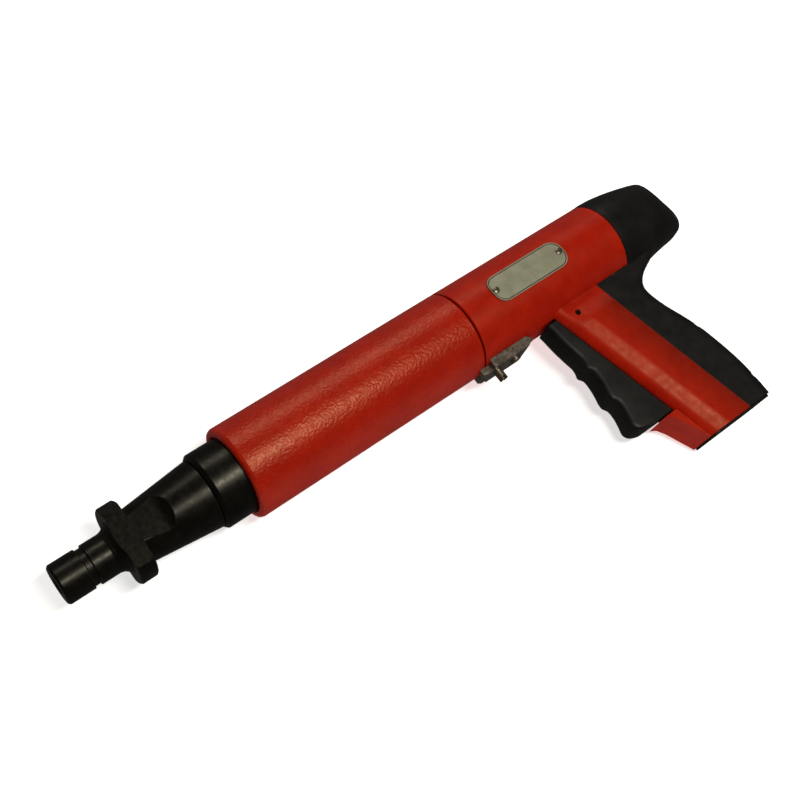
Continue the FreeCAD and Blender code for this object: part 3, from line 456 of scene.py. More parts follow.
def red_wrinkle():
    finish = Finish("red_wrinkle_paint", 0.4, 0.0, 0.50, RED_SHEEN)
    tone = finish.spread(finish.noise(14.0, 4.0), 0.35, 0.65)
    color = finish.blend(tone, RED_DEEP, RED_WARM)
    folds = finish.cells(1.15)
    valleys = finish.spread(folds, 0.25, 0.62)
    color = finish.blend(finish.times(valleys, 0.35), color, RED_DEEP)
    worn = finish.times(finish.edges(0.5), finish.spread(finish.noise(2.5, 5.0), 0.45, 0.62))
    color = finish.blend(finish.times(worn, 0.5), color, RED_DUST)
    finish.bump(finish.noise(0.7, 4.0, 0.6), 0.07)
    finish.bump(folds, 0.16)
    finish.bump(finish.noise(5.0, 2.0), 0.08)
    return finish.done(color, finish.spread(finish.noise(3.0, 3.0), 0.3, 0.7, 0.30, 0.40))


def red_satin():
    finish = Finish("red_satin_paint", 0.4, 0.0, 0.30, RED_SHEEN)
    tone = finish.spread(finish.noise(9.0, 5.0, 0.6), 0.35, 0.68)
    color = finish.blend(tone, RED_DEEP, RED_WARM)
    across_grip = (1.0, GRIP_LEAN, 0.0)
    edge = FRONT_TOP + GRIP_TOP * GRIP_LEAN
    below = finish.along((0, -1, 0), 20.0, 32.0)
    # Painted shade: the cheek of the grip below the tube is coloured darker towards the seam.
    held_nodes_and_painted_shade = finish.times(finish.along(across_grip, edge + 7.8, edge + 35.8), below)
    color = finish.blend(finish.times(held_nodes_and_painted_shade, 0.80), color, (0.085, 0.003, 0.0008, 1))
    worn = finish.times(finish.edges(0.5), finish.spread(finish.noise(2.0, 5.0), 0.45, 0.62))
    color = finish.blend(finish.times(worn, 0.6), color, RED_DUST)
    finish.soft_edges(0.35)
    finish.bump(finish.times(finish.along(across_grip, edge + 1.0, edge + 13.0), below), 3.2)
    finish.bump(finish.noise(2.2, 2.0), 0.03)
    finish.bump(finish.noise(0.5, 3.0), 0.012)
    return finish.done(color, finish.spread(finish.noise(4.0, 4.0), 0.3, 0.7, 0.36, 0.48))


FINISHES = {"red_textured": red_wrinkle(), "red_smooth": red_satin()}
print("red finishes:", [m.name for m in FINISHES.values()])

# %% [markdown]
# ## Steel
# The nose and casing are turned on a lathe and then blackened in hot oil, which leaves a deep
# brown-black skin that is shiny where the tool ran smooth. The turning marks are rings round the
# axis, so their pattern is squeezed hard along the barrel. Edges rub bright in use.

# %% Steel finishes


def blackened():
    finish = Finish("blackened_steel", 0.3, 0.0, 0.22, (1.0, 0.95, 0.80, 1))
    tone = finish.spread(finish.noise(7.0, 5.0, 0.6), 0.3, 0.7)
    color = finish.blend(tone, (0.0016, 0.0013, 0.0009, 1), (0.0042, 0.0034, 0.0022, 1))
    rub = finish.times(finish.edges(0.45), finish.spread(finish.noise(1.3, 5.0, 0.65), 0.48, 0.66))
    color = finish.blend(finish.times(rub, 0.55), color, (0.13, 0.12, 0.11, 1))
    finish.bump(finish.noise(12.0, 2.0, 0.5, (24, 1, 1)), 0.012)
    finish.bump(finish.noise(0.35, 3.0), 0.006)
    return finish.done(color, finish.spread(finish.noise(2.4, 5.0), 0.3, 0.7, 0.27, 0.38))


def machined(name, dark, light, roughness, rings=0.008):
    finish = Finish(name, roughness, 1.0)
    tone = finish.spread(finish.noise(5.0, 4.0), 0.3, 0.7)
    color = finish.blend(tone, dark, light)
    finish.bump(finish.noise(9.0, 2.0, 0.5, (30, 1, 1)), rings)
    sheen = finish.spread(finish.noise(1.6, 4.0), 0.3, 0.7, roughness - 0.06, roughness + 0.08)
    return finish.done(color, sheen)


def plated():
    finish = Finish("zinc_plated_steel", 0.3, 0.9)
    tone = finish.spread(finish.noise(3.2, 5.0, 0.6), 0.34, 0.66)
    color = finish.blend(tone, (0.13, 0.105, 0.078, 1), (0.25, 0.21, 0.165, 1))
    finish.soft_edges(0.25)
    finish.bump(finish.noise(1.1, 4.0), 0.02)
    return finish.done(color, finish.spread(finish.noise(0.9, 4.0), 0.3, 0.7, 0.26, 0.46))


FINISHES["blackened_steel"] = blackened()
FINISHES["bright_steel"] = machined("machined_steel", (0.40, 0.39, 0.37, 1), (0.60, 0.59, 0.56, 1), 0.30)
FINISHES["spring_steel"] = machined(
    "spring_wire", (0.22, 0.21, 0.20, 1), (0.36, 0.35, 0.33, 1), 0.34, 0.003)
FINISHES["plated_steel"] = plated()
print("steel finishes:", len(FINISHES) - 2)

# %% [markdown]
# ## Moulded plastic, rubber and the plate's aluminium
# Satin plastic gets its look from the mould: spark erosion leaves a very fine even grain, and the
# sheen shifts a little where hands have polished it. The plate is anodised aluminium brushed along
# its length. Shade is painted dark into the groove inside its rim and along the foot of its edge.

# %% Plastic, rubber and aluminium


def moulded():
    finish = Finish("black_moulded_plastic", 0.45, 0.0, 0.19)
    tone = finish.spread(finish.noise(16.0, 4.0), 0.3, 0.7)
    color = finish.blend(tone, (0.0045, 0.0042, 0.0038, 1), (0.0080, 0.0074, 0.0066, 1))
    scuffs = finish.spread(finish.noise(3.0, 6.0, 0.7, (1, 0.25, 1)), 0.62, 0.80)
    color = finish.blend(finish.times(scuffs, 0.35), color, (0.032, 0.030, 0.028, 1))
    finish.soft_edges(0.4)
    finish.bump(finish.noise(0.45, 2.0), 0.012)
    finish.bump(finish.noise(6.0, 2.0), 0.05)
    return finish.done(color, finish.spread(finish.noise(5.0, 5.0), 0.3, 0.7, 0.38, 0.52))


def rubbery():
    finish = Finish("amber_buffer_rubber", 0.5)
    tone = finish.spread(finish.noise(3.0, 3.0), 0.3, 0.7)
    color = finish.blend(tone, (0.11, 0.045, 0.012, 1), (0.20, 0.09, 0.025, 1))
    finish.bump(finish.noise(0.8, 3.0), 0.02)
    return finish.done(color, finish.spread(finish.noise(2.0, 3.0), 0.3, 0.7, 0.42, 0.58))


def anodised():
    finish = Finish("anodised_plate", 0.5, 0.15, 0.4)
    tone = finish.spread(finish.noise(6.0, 5.0, 0.6), 0.32, 0.68)
    color = finish.blend(tone, (0.235, 0.232, 0.155, 1), (0.295, 0.290, 0.200, 1))
    brushed = finish.noise(3.0, 3.0, 0.6, (0.12, 6, 6))
    color = finish.blend(finish.spread(brushed, 0.35, 0.75, 0.0, 0.30), color, (0.22, 0.21, 0.17, 1))
    worn = finish.times(finish.edges(0.35), finish.spread(finish.noise(1.2, 4.0), 0.42, 0.6))
    color = finish.blend(finish.times(worn, 0.6), color, (0.62, 0.61, 0.56, 1))
    # Painted shade: below about 0.4 mm above the tube, the groove inside the rim and the foot of the outer
    # edge are coloured near black.
    painted_groove_shade = finish.from_axis(TUBE_RADIUS + 0.46, TUBE_RADIUS + 0.38)
    color = finish.blend(painted_groove_shade, color, (0.018, 0.016, 0.012, 1))
    finish.bump(brushed, 0.006)
    return finish.done(color, finish.spread(finish.noise(2.0, 4.0), 0.3, 0.7, 0.42, 0.58))


FINISHES["black_plastic"] = moulded()
FINISHES["buffer_rubber"] = rubbery()
FINISHES["plate_metal"] = anodised()
print("finishes:", sorted(FINISHES))

# %% [markdown]
# ## Dressing the fixed frame
# Pieces whose shape is already right, such as the housing, the barrel tube and the firing mechanism,
# stay as they are and only change their finish. The record names a slot for each one.

# %% Finish for every carried-over piece
SLOT_OF = {part["node"]: part["material_slot"] for part in frame["record"]["subparts"]}
BODY_OF = {node: body for body, held_nodes_and_painted_shade in frame["record"]["behaviour"]["bodies"].items() for node in held_nodes_and_painted_shade}
for name, shown in NODES.items():
    shown.data.materials.clear()
    shown.data.materials.append(FINISHES[SLOT_OF[name]])
    shown.data.polygons.foreach_set("material_index", [0] * len(shown.data.polygons))


def stand_in(piece, node):
    """Lets a detailed piece stand for a piece of the frame, with its finish, riding on its body."""
    piece.data.materials.clear()
    piece.data.materials.append(FINISHES[SLOT_OF[node]])
    piece.data.polygons.foreach_set("material_index", [0] * len(piece.data.polygons))
    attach(piece, BODY_OF[node])
    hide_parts(node)
    print("%-20s %6d faces" % (piece.name, len(piece.data.polygons)))
    return piece


print("dressed", len(NODES), "pieces")

# %% [markdown]
# ## Nose piece
# The nose is one turned bar. Its section is drawn once: a plain tip with a groove for a fastener
# guide, a flare, a flange that a hand or a rest can bear on, and a cone back to the casing. A mill
# then cuts two wrench flats straight across the flange, and its round cutter leaves a scoop in the
# cone behind them.

# %% Nose piece
FASTENER_BORE = 4.0
TIP_RADIUS = 9.25
FLANGE_RADIUS = 18.1
CONE_RADIUS = 12.6
BARREL_SEAT = 12.5
nose_section = [
    (0.0, FASTENER_BORE), (0.0, TIP_RADIUS - 0.9), (0.9, TIP_RADIUS), (12.4, TIP_RADIUS), (12.4, 8.4),
    (15.2, 8.4), (15.2, TIP_RADIUS), (23.6, TIP_RADIUS), (25.4, 9.7), (26.9, 10.9), (28.0, CONE_RADIUS),
    (28.0, FLANGE_RADIUS - 0.8), (28.8, FLANGE_RADIUS), (35.4, FLANGE_RADIUS),
    (36.2, FLANGE_RADIUS - 0.8), (36.2, CONE_RADIUS), (69.2, 16.16), (69.6, 15.8), (69.6, BARREL_SEAT),
    (90.0, BARREL_SEAT), (90.0, 4.4), (42.0, 4.4), (42.0, FASTENER_BORE),
]
nose = spun("nose", soften(nose_section, 0.45), 176)
FLAT = 11.3
CUTTER = 6.8
FLAT_END = 46.8
PAST = 24.0
cutters = []
for side in (1, -1):
    block = [(PAST, side * FLAT), (FLAT_END, side * FLAT), (FLAT_END, side * PAST), (PAST, side * PAST)]
    cutters.append(prism("cutter", block, -PAST, PAST, "Y"))
    middle = side * (FLAT + CUTTER)
    around = [2 * math.pi * i / 72 for i in range(72)]
    scoop = [(FLAT_END + CUTTER * math.cos(a), middle + CUTTER * math.sin(a)) for a in around]
    cutters.append(prism("cutter", scoop, -PAST, PAST, "Y"))
combine(nose, cutters)
ease_edges(nose, 0.28)
stand_in(nose, "nose_piece")

# %% [markdown]
# ## Casing and front sleeve
# Behind the cone comes a plain casing, the same width all the way so that it can slide in the sleeve.
# The sleeve is a tube with rolled edges. The narrow ring of shadow between the two is a real gap.

# %% Casing and sleeve
casing_section = [
    (CASING_FRONT, BARREL_SEAT), (CASING_FRONT, CASING_RADIUS - 1.6), (CASING_FRONT + 1.6, CASING_RADIUS),
    (CASING_BACK - 0.5, CASING_RADIUS), (CASING_BACK, CASING_RADIUS - 0.5), (CASING_BACK, BARREL_SEAT),
]
stand_in(spun("casing", soften(casing_section, 0.5), 176), "barrel_casing")
SLEEVE_BORE = 18.3
SPIGOT_BORE = 19.95
spigot = low("housing", 0)
sleeve_section = [
    (SLEEVE_FRONT, SLEEVE_BORE + 0.6), (SLEEVE_FRONT, TUBE_RADIUS - 1.9),
    (SLEEVE_FRONT + 0.6, TUBE_RADIUS - 0.55), (SLEEVE_FRONT + 1.9, TUBE_RADIUS),
    (SLEEVE_BACK - 0.5, TUBE_RADIUS), (SLEEVE_BACK, TUBE_RADIUS - 0.5),
    (SLEEVE_BACK, SPIGOT_BORE), (spigot, SPIGOT_BORE), (spigot, SLEEVE_BORE),
    (SLEEVE_FRONT + 0.6, SLEEVE_BORE),
]
sleeve = spun("sleeve", soften(sleeve_section, 0.8, 6), 200)
stand_in(sleeve, "front_sleeve")

# %% [markdown]
# ## Rear cap and backstrap
# The cap that closes the housing and the back half of the grip are one moulding. It could be carved,
# but it is quicker to think of it as two simple lofts that run into each other, a tapering barrel
# end and a curved strap. Remeshing the pair into one even skin and smoothing that skin makes the
# soft saddle where they meet, just as a mould maker would blend it.

# %% Rear cap: the two lofts
CAP = [
    # each row: how far back the top is, its height, the same for the bottom, half width, squareness
    (292.0, 22.0, 292.0, -22.0, 22.0, 2.0),
    (301.5, 22.0, 301.5, -22.0, 22.0, 2.0),
    (306.0, 22.25, 306.5, -21.9, 21.95, 2.02),
    (311.8, 21.9, 312.9, -21.4, 21.3, 2.1),
    (317.6, 21.1, 318.9, -20.9, 20.3, 2.2),
    (323.3, 19.9, 324.7, -19.8, 19.0, 2.4),
    (329.0, 18.6, 330.6, -18.7, 17.6, 2.6),
    (334.7, 17.5, 336.8, -17.9, 15.7, 2.7),
    (339.6, 16.6, 342.2, -17.4, 12.9, 2.8),
    (342.3, 14.8, 346.5, -16.0, 9.4, 2.8),
    (344.6, 12.8, 349.2, -13.5, 6.4, 2.8),
    (346.4, 8.8, 350.8, -10.3, 4.4, 2.6),
]


def cap_loop(top_x, top_y, bottom_x, bottom_y, half, squareness, count=72):
    """A rounded section through a top and a bottom point."""
    loop = []
    for i in range(count):
        a = 2 * math.pi * i / count
        across, up = math.sin(a), math.cos(a)
        bulge = (abs(across) ** squareness + abs(up) ** squareness) ** (-1 / squareness)
        x = (top_x + bottom_x) / 2 + (top_x - bottom_x) / 2 * up * bulge
        y = (top_y + bottom_y) / 2 + (top_y - bottom_y) / 2 * up * bulge
        loop.append((x, y, half * across * bulge))
    return loop


STRAP_BACK = [
    (-8.0, 326.0), (-14.0, 326.0), (-18.0, 324.5), (-20.0, 322.7), (-22.0, 318.2), (-23.9, 313.8),
    (-26.4, 309.6), (-29.3, 306.6), (-31.8, 305.3), (-34.8, 305.2), (-39.9, 306.3), (-45.9, 308.3),
    (-52.5, 311.2), (-58.6, 313.7), (-65.6, 316.1), (-74.6, 318.3), (-82.1, 319.8), (-89.5, 320.9),
    (-96.9, 321.4), (-104.2, 321.6), (-112.0, 321.6),
]


STRAP_CORNER = 7.0


def strap_loop(y):
    """A level section of the strap: flat in front, well rounded at the back."""
    front = min(grip_seam(y) - 3.0, 296.0)
    middle = smooth_through(STRAP_BACK, y) - STRAP_CORNER
    loop = [(front, y, -GRIP_HALF), (middle, y, -GRIP_HALF)]
    for i in range(1, 12):
        a = -math.pi / 2 + math.pi * i / 12
        loop.append((middle + STRAP_CORNER * math.cos(a), y, GRIP_HALF * math.sin(a)))
    return loop + [(middle, y, GRIP_HALF), (front, y, GRIP_HALF)]


cap = lofted("cap", [cap_loop(*row) for row in CAP])
heights = [-10.0 - 2.0 * i for i in range(51)]
strap = lofted("strap", [strap_loop(y) for y in heights])
combine(cap, [strap], "UNION")
print("cap and strap:", len(cap.data.polygons), "faces")

# %% Rear cap: one even skin


def one_skin(piece, voxel, passes):
    """Remeshes a piece into an even skin and smooths it."""
    remesh = piece.modifiers.new("skin", "REMESH")
    remesh.mode = "VOXEL"
    remesh.voxel_size = voxel * MM
    smooth = piece.modifiers.new("smooth", "SMOOTH")
    smooth.factor = 0.5
    smooth.iterations = passes
    apply_modifiers(piece)
    shade(piece, 60)
    return piece


one_skin(cap, 0.62, 9)
print("even skin:", len(cap.data.polygons), "faces")

# %% [markdown]
# The skin is then cut to its neighbours: it stops at the back of the housing and along the seam of the
# grip, it leaves room for the firing mechanism and the cartridge channel, and it takes four screws
# whose heads lie in deep round holes.

# %% Rear cap: cuts


def box_between(name, lowest, highest):
    """A plain block, used only to cut with."""
    (x0, y0, z0), (x1, y1, z1) = lowest, highest
    return lofted(name, [[(x0, y0, z), (x1, y0, z), (x1, y1, z), (x0, y1, z)] for z in (z0, z1)])


STRAP_TOP = -18.5
WIDE = 40
front_of_seam = [
    (240, STRAP_TOP), (grip_seam(STRAP_TOP), STRAP_TOP), (grip_seam(-120), -120), (240, -120),
]
CHANNEL_BEND = -24.0
CHANNEL_END = -112.3
channel_shift = (CHANNEL_BEND - CHANNEL_END) * GRIP_LEAN
channel = [
    (CHANNEL_FRONT, WIDE), (CHANNEL_BACK, WIDE), (CHANNEL_BACK, CHANNEL_BEND),
    (CHANNEL_BACK + channel_shift, CHANNEL_END), (CHANNEL_FRONT + channel_shift, CHANNEL_END),
    (CHANNEL_FRONT, CHANNEL_BEND),
]
cuts = [
    box_between("cut", (240, STRAP_TOP, -WIDE), (HOUSING_BACK, WIDE, WIDE)),
    prism("cut", front_of_seam, -WIDE, WIDE),
    box_between("cut", (240, -140, -WIDE), (400, GRIP_SHELL_FOOT, WIDE)),
    prism("cut", channel, -CHANNEL_HALF, CHANNEL_HALF),
]


def bore(start, end, radius, segments):
    """A plain round bar along the barrel's axis, used only to cut with."""
    return spun("cut", [(start, 0), (start, radius), (end, radius), (end, 0)], segments)


ARM_ROOM = high("cocking_rod", 0) + 16.5
guide_radius = (high("firing_pin_guide", 2) - low("firing_pin_guide", 2)) / 2
cuts.append(bore(HOUSING_BACK - 2, ARM_ROOM, 17.3, 96))
cuts.append(bore(324, high("spring_plug", 0), guide_radius, 64))
SCREWS = []
for drop, behind in ((62.0, 16.4), (97.0, 13.8)):
    head = grip_seam(-drop) + behind
    hole = [(head - 22, 0), (head - 22, 1.5), (head, 1.5), (head, 2.3), (head + 20, 2.3), (head + 20, 0)]
    for z in (8.3, -8.3):
        SCREWS.append((head, -drop, z))
        cuts.append(spun("cut", hole, 40, centre=(0, -drop, z)))
combine(cap, cuts)
shade(cap, 35)
stand_in(cap, "rear_cap")
print("cap box", [round(v / MM, 1) for v in cap.bound_box[0]], [round(v / MM, 1) for v in cap.bound_box[6]])

# %% [markdown]
# ## Foot plate
# A thin black plate closes the foot of the grip. Its outline follows the rounded front of the grip,
# the straight sides and the rounded back of the strap, a hair inside them.

# %% Foot plate
FOOT_BACK = 319.0
FRONT_CORNER = 4.6
BACK_CORNER = 6.5
foot_half = GRIP_HALF - 0.4
front_middle = grip_front(GRIP_FOOT) + 0.6 + FRONT_CORNER
edge = []
for i in range(11):
    a = math.pi / 2 * i / 10
    edge.append((front_middle - FRONT_CORNER * math.cos(a), foot_half - FRONT_CORNER * (1 - math.sin(a))))
for i in range(11):
    a = math.pi / 2 * i / 10
    edge.append((FOOT_BACK - BACK_CORNER * (1 - math.sin(a)), foot_half * (0.42 + 0.58 * math.cos(a))))
foot_outline = edge + [(x, -z) for x, z in reversed(edge)]
foot = prism("foot", foot_outline, GRIP_FOOT, GRIP_SHELL_FOOT - 0.02, "Y")
slot_shift = (CHANNEL_BEND - GRIP_FOOT) * GRIP_LEAN
slot_low = (CHANNEL_FRONT + slot_shift, -130, -CHANNEL_HALF)
slot_high = (CHANNEL_BACK + slot_shift, -90, CHANNEL_HALF)
combine(foot, [box_between("cut", slot_low, slot_high)])
ease_edges(foot, 0.25)
stand_in(foot, "grip_base")

# %% [markdown]
# ## Trigger
# A whole hand pulls this trigger, so its front has three ridges that part the fingers. The front
# face is lofted level by level between two wavy lines, one for its near edge and one for its crown,
# and the sides are flat because they run in a slot in the grip.

# %% Trigger
TRIGGER_EDGE = [
    (-21.7, 247.2), (-24.7, 247.6), (-29.5, 248.0), (-34.3, 248.6), (-39.0, 249.4), (-43.5, 250.2),
    (-46.2, 249.9), (-48.6, 249.2), (-51.4, 250.9), (-56.0, 250.9), (-60.6, 250.2), (-64.4, 249.3),
    (-67.0, 249.3), (-69.7, 250.8), (-74.4, 250.8), (-79.0, 249.8), (-82.6, 248.9), (-85.2, 250.0),
    (-86.6, 252.2), (-87.6, 255.0),
]
TRIGGER_BACK = 266.6
CORNER = 2.0
CROWN = 0.9


def trigger_loop(y):
    """A level section of the trigger: a crowned front with small round corners."""
    front = smooth_through(TRIGGER_EDGE, y)
    back = TRIGGER_BACK + max(0.0, -30.9 - y) * 0.0985
    if y > -30.9:
        back = TRIGGER_BACK - max(0.0, y + 26.0) * 0.5
    loop = []
    for i in range(25):
        z = TRIGGER_HALF * (i / 12 - 1)
        near_edge = max(0.0, abs(z) - (TRIGGER_HALF - CORNER)) / CORNER
        rounding = CORNER * (1 - math.sqrt(max(0.0, 1 - near_edge ** 2)))
        loop.append((front + CROWN * (z / TRIGGER_HALF) ** 2 + rounding, y, z))
    flank = front + 11.0
    for x, z in ((flank, 1), (back, 1), (back, -1), (flank, -1)):
        loop.append((x, y, z * TRIGGER_HALF))
    return loop


levels = [TRIGGER_EDGE[0][0] - 0.55 * i for i in range(120)] + [TRIGGER_FOOT]
trigger = lofted("trigger_blade", [trigger_loop(y) for y in levels], 40)
print("trigger blank:", len(levels), "levels")

# %% Trigger: pin hole, spring pocket and heel
PIN_HOLE = 1.55
POCKET_RADIUS = 3.2
POCKET_HEIGHT = -46.9
around = [2 * math.pi * i / 40 for i in range(40)]
pin_circle = [(PIVOT[0] + PIN_HOLE * math.cos(a), PIVOT[1] + PIN_HOLE * math.sin(a)) for a in around]
pocket = [(PIVOT[0] - 3.4, 0), (PIVOT[0] - 3.4, POCKET_RADIUS), (300, POCKET_RADIUS), (300, 0)]
spring_pocket = spun("cut", pocket, 48, centre=(0, POCKET_HEIGHT, 0))
combine(trigger, [prism("cut", pin_circle, -20, 20), spring_pocket])
heel = box_between("heel", (PIVOT[0] - 1.3, PIVOT[1] + 2.6, 5.7), (PIVOT[0] + 1.3, -14.9, 7.3))
combine(trigger, [heel], "UNION")
ease_edges(trigger, 0.3, 40)
stand_in(trigger, "trigger")

# %% [markdown]
# ## Name plate
# A stamped plate is bent to the tube it sits on. Its flat shape is a rectangle with round ends. The
# press raises a rim round the edge, leaves a groove inside it and puts the field a little lower. Rings
# of points step inwards from the edge, each at its own height, and are laid onto the tube's curve.

# %% Name plate
PLATE = (low("name_plate", 0), high("name_plate", 0))
PLATE_MIDDLE = (PLATE[0] + PLATE[1]) / 2
PLATE_HALF = (PLATE[1] - PLATE[0]) / 2
PLATE_RISE = 7.3
PLATE_CORNER = 6.0
PLATE_TURN = math.radians(6.5)


def plate_ring(inset, height, steps=9):
    """A ring of points that far in from the plate's edge and that high above the tube."""
    half_x, half_y = PLATE_HALF - inset, PLATE_RISE - inset
    corner = max(PLATE_CORNER - inset, 0.4)
    ring = []
    for quarter, (sx, sy) in enumerate(((1, 1), (-1, 1), (-1, -1), (1, -1))):
        for i in range(steps + 1):
            a = math.pi / 2 * (quarter + i / steps)
            x = sx * (half_x - corner) + corner * math.cos(a)
            y = sy * (half_y - corner) + corner * math.sin(a)
            ring.append((x, y))
        if quarter in (0, 2):
            here, far = ring[-1][0], -ring[-1][0]
            ring += [(here + (far - here) * k / 24, ring[-1][1]) for k in range(1, 24)]
    return [on_tube(x + PLATE_MIDDLE, y, height) for x, y in ring]


def on_tube(x, y, height):
    """A point of the plate, laid onto the tube and turned a little upwards."""
    radius = TUBE_RADIUS + height
    angle = y / TUBE_RADIUS + PLATE_TURN
    return (x, radius * math.sin(angle), radius * math.cos(angle))


profile = [
    (0.0, 0.02), (0.0, 0.62), (0.06, 0.76), (0.18, 0.84), (0.38, 0.84), (0.50, 0.74), (0.56, 0.30),
    (0.90, 0.30), (1.00, 0.55), (2.4, 0.55), (4.2, 0.55), (6.2, 0.55),
]
rings = [plate_ring(inset, height) for inset, height in profile]
base_rings = [plate_ring(inset, 0.02) for inset in (6.2, 3.0)]
plate = lofted("plate", base_rings + rings, 45)
stand_in(plate, "name_plate")

# %% [markdown]
# ## Rivets and screws
# The same small part shows up more than once, so each is made one time and a Geometry Nodes tree
# sets a copy on every point of a list. Changing the one part changes them all.

# %% A tree with named inputs


def new_tree(name, kinds):
    """A Geometry Nodes tree with named inputs, whose result is made real and given its finish."""
    tree = bpy.data.node_groups.new(name, "GeometryNodeTree")
    side = tree.interface
    side.new_socket("Geometry", in_out="INPUT", socket_type="NodeSocketGeometry")
    keys = {}
    for key, kind in kinds.items():
        keys[key] = side.new_socket(key, in_out="INPUT", socket_type="NodeSocket" + kind).identifier
    side.new_socket("Geometry", in_out="OUTPUT", socket_type="NodeSocketGeometry")
    entry, leave = tree.nodes.new("NodeGroupInput"), tree.nodes.new("NodeGroupOutput")
    realize = tree.nodes.new("GeometryNodeRealizeInstances")
    coat = tree.nodes.new("GeometryNodeSetMaterial")
    tree.links.new(realize.outputs["Geometry"], coat.inputs["Geometry"])
    tree.links.new(entry.outputs["Finish"], coat.inputs["Material"])
    tree.links.new(coat.outputs["Geometry"], leave.inputs["Geometry"])
    return tree, keys, entry.outputs, realize.inputs["Geometry"]


def grown(name, mesh, tree, settings):
    """A new object whose mesh is what the tree makes; settings go by the inputs' identifiers."""
    piece = bpy.data.objects.new(name, mesh)
    bpy.context.scene.collection.objects.link(piece)
    modifier = piece.modifiers.new("tree", "NODES")
    modifier.node_group = tree
    for identifier, setting in settings.items():
        modifier[identifier] = setting
    return apply_modifiers(piece)


print("tree helpers ready")

# %% Copies set on points


def copies(name, part, places, finish, turn=(0, 0, 0)):
    """A copy of part on each place, turned by an angle about each axis."""
    kinds = {"Part": "Object", "Turn": "Vector", "Size": "Float", "Finish": "Material"}
    tree, keys, entry, result = new_tree(name + "_nodes", kinds)
    info = tree.nodes.new("GeometryNodeObjectInfo")
    instance = tree.nodes.new("GeometryNodeInstanceOnPoints")
    tree.links.new(entry["Part"], info.inputs["Object"])
    tree.links.new(info.outputs["Geometry"], instance.inputs["Instance"])
    tree.links.new(entry["Geometry"], instance.inputs["Points"])
    tree.links.new(entry["Turn"], instance.inputs["Rotation"])
    tree.links.new(entry["Size"], instance.inputs["Scale"])
    tree.links.new(instance.outputs["Instances"], result)
    mesh = bpy.data.meshes.new(name)
    mesh.from_pydata([Vector(p) * MM for p in places], [], [])
    settings = {"Part": part, "Turn": turn, "Size": 1.0, "Finish": finish}
    holder = grown(name, mesh, tree, {keys[key]: setting for key, setting in settings.items()})
    bpy.data.objects.remove(part)
    shade(holder, 35)
    return holder


rivet_section = [
    (0.0, 0.0), (0.0, 1.05), (0.62, 1.05), (0.62, 1.68), (0.80, 1.62), (1.02, 1.25), (1.14, 0.7),
    (1.18, 0.0),
]
rivet = spun("rivet", rivet_section, 40)
rivet_places = [on_tube(PLATE[0] + 2.4, 0, 0.0), on_tube(PLATE[1] - 2.7, 0, 0.0)]
outwards = (0, -math.pi / 2, 0)
rivets = copies("rivets", rivet, rivet_places, FINISHES[SLOT_OF["name_plate_rivets"]], outwards)
stand_in(rivets, "name_plate_rivets")

# %% Backstrap screws
SHANK_RADIUS = 1.45
HEAD_RADIUS = 2.2
screw_section = [
    (-20.6, 0), (-20.6, 1.1), (-20.0, SHANK_RADIUS), (0, SHANK_RADIUS), (0, HEAD_RADIUS),
    (1.2, HEAD_RADIUS), (1.6, 2.0), (1.8, 1.5), (1.8, 0),
]
screw = spun("screw", screw_section, 40)
for wide, tall in ((1.4, 0.28), (0.28, 1.4)):
    combine(screw, [box_between("cut", (0.7, -wide, -tall), (3, wide, tall))])
screws = copies("screws", screw, SCREWS, FINISHES[SLOT_OF["backstrap_screws"]], (0.6, 0, 0))
stand_in(screws, "backstrap_screws")
print("screw places:", len(SCREWS))

# %% [markdown]
# ## Springs
# A coil spring is a circle of wire swept along a helix. One Geometry Nodes tree takes the number of
# turns, the radius, the length and the wire, so the same tree makes all five springs here.

# %% Springs


def coil_tree():
    """A helix of round wire along Z, from 0 upwards."""
    kinds = {"Turns": "Float", "Radius": "Float", "Length": "Float", "Wire": "Float", "Finish": "Material"}
    tree, keys, entry, result = new_tree("coil_nodes", kinds)
    spiral = tree.nodes.new("GeometryNodeCurveSpiral")
    spiral.inputs["Resolution"].default_value = 40
    circle = tree.nodes.new("GeometryNodeCurvePrimitiveCircle")
    circle.inputs["Resolution"].default_value = 14
    sweep = tree.nodes.new("GeometryNodeCurveToMesh")
    sweep.inputs["Fill Caps"].default_value = True
    tree.links.new(entry["Turns"], spiral.inputs["Rotations"])
    tree.links.new(entry["Radius"], spiral.inputs["Start Radius"])
    tree.links.new(entry["Radius"], spiral.inputs["End Radius"])
    tree.links.new(entry["Length"], spiral.inputs["Height"])
    tree.links.new(entry["Wire"], circle.inputs["Radius"])
    tree.links.new(spiral.outputs["Curve"], sweep.inputs["Curve"])
    tree.links.new(circle.outputs["Curve"], sweep.inputs["Profile Curve"])
    tree.links.new(sweep.outputs["Mesh"], result)
    return tree, keys


COIL, COIL_KEYS = coil_tree()


def spring(node, along, turns, wire):
    """Makes a spring that fills a spring node's box along its axis."""
    lowest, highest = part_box(node)
    axis = "XYZ".index(along)
    across = (axis + 2) % 3
    settings = {
        "Turns": float(turns),
        "Radius": (highest[across] - lowest[across]) / 2 - wire * MM,
        "Length": highest[axis] - lowest[axis] - 2 * wire * MM,
        "Wire": wire * MM,
        "Finish": FINISHES["spring_steel"],
    }
    settings = {COIL_KEYS[key]: setting for key, setting in settings.items()}
    piece = grown(node + "_coil", bpy.data.meshes.new(node), COIL, settings)
    turn = Matrix.Rotation(math.pi / 2, 4, "Y") if along == "X" else Matrix.Rotation(-math.pi / 2, 4, "X")
    start = (lowest + highest) / 2
    start[axis] = lowest[axis] + wire * MM
    piece.data.transform(Matrix.Translation(start) @ turn)
    shade(piece, 60)
    return stand_in(piece, node)


spring("return_spring", "X", 9, 0.8)
spring("firing_spring", "X", 8, 0.6)
spring("trigger_spring", "X", 6, 0.45)
spring("stop_pin_spring", "Y", 3, 0.35)
spring("sear_spring", "Y", 4, 0.3)

# %% [markdown]
# ## Floor, light and camera
# A wide pale floor and two large soft lamps, one by the camera and one over the muzzle's far side,
# are enough: the tube then shows one bright band and one softer band, and nothing is lost in black.

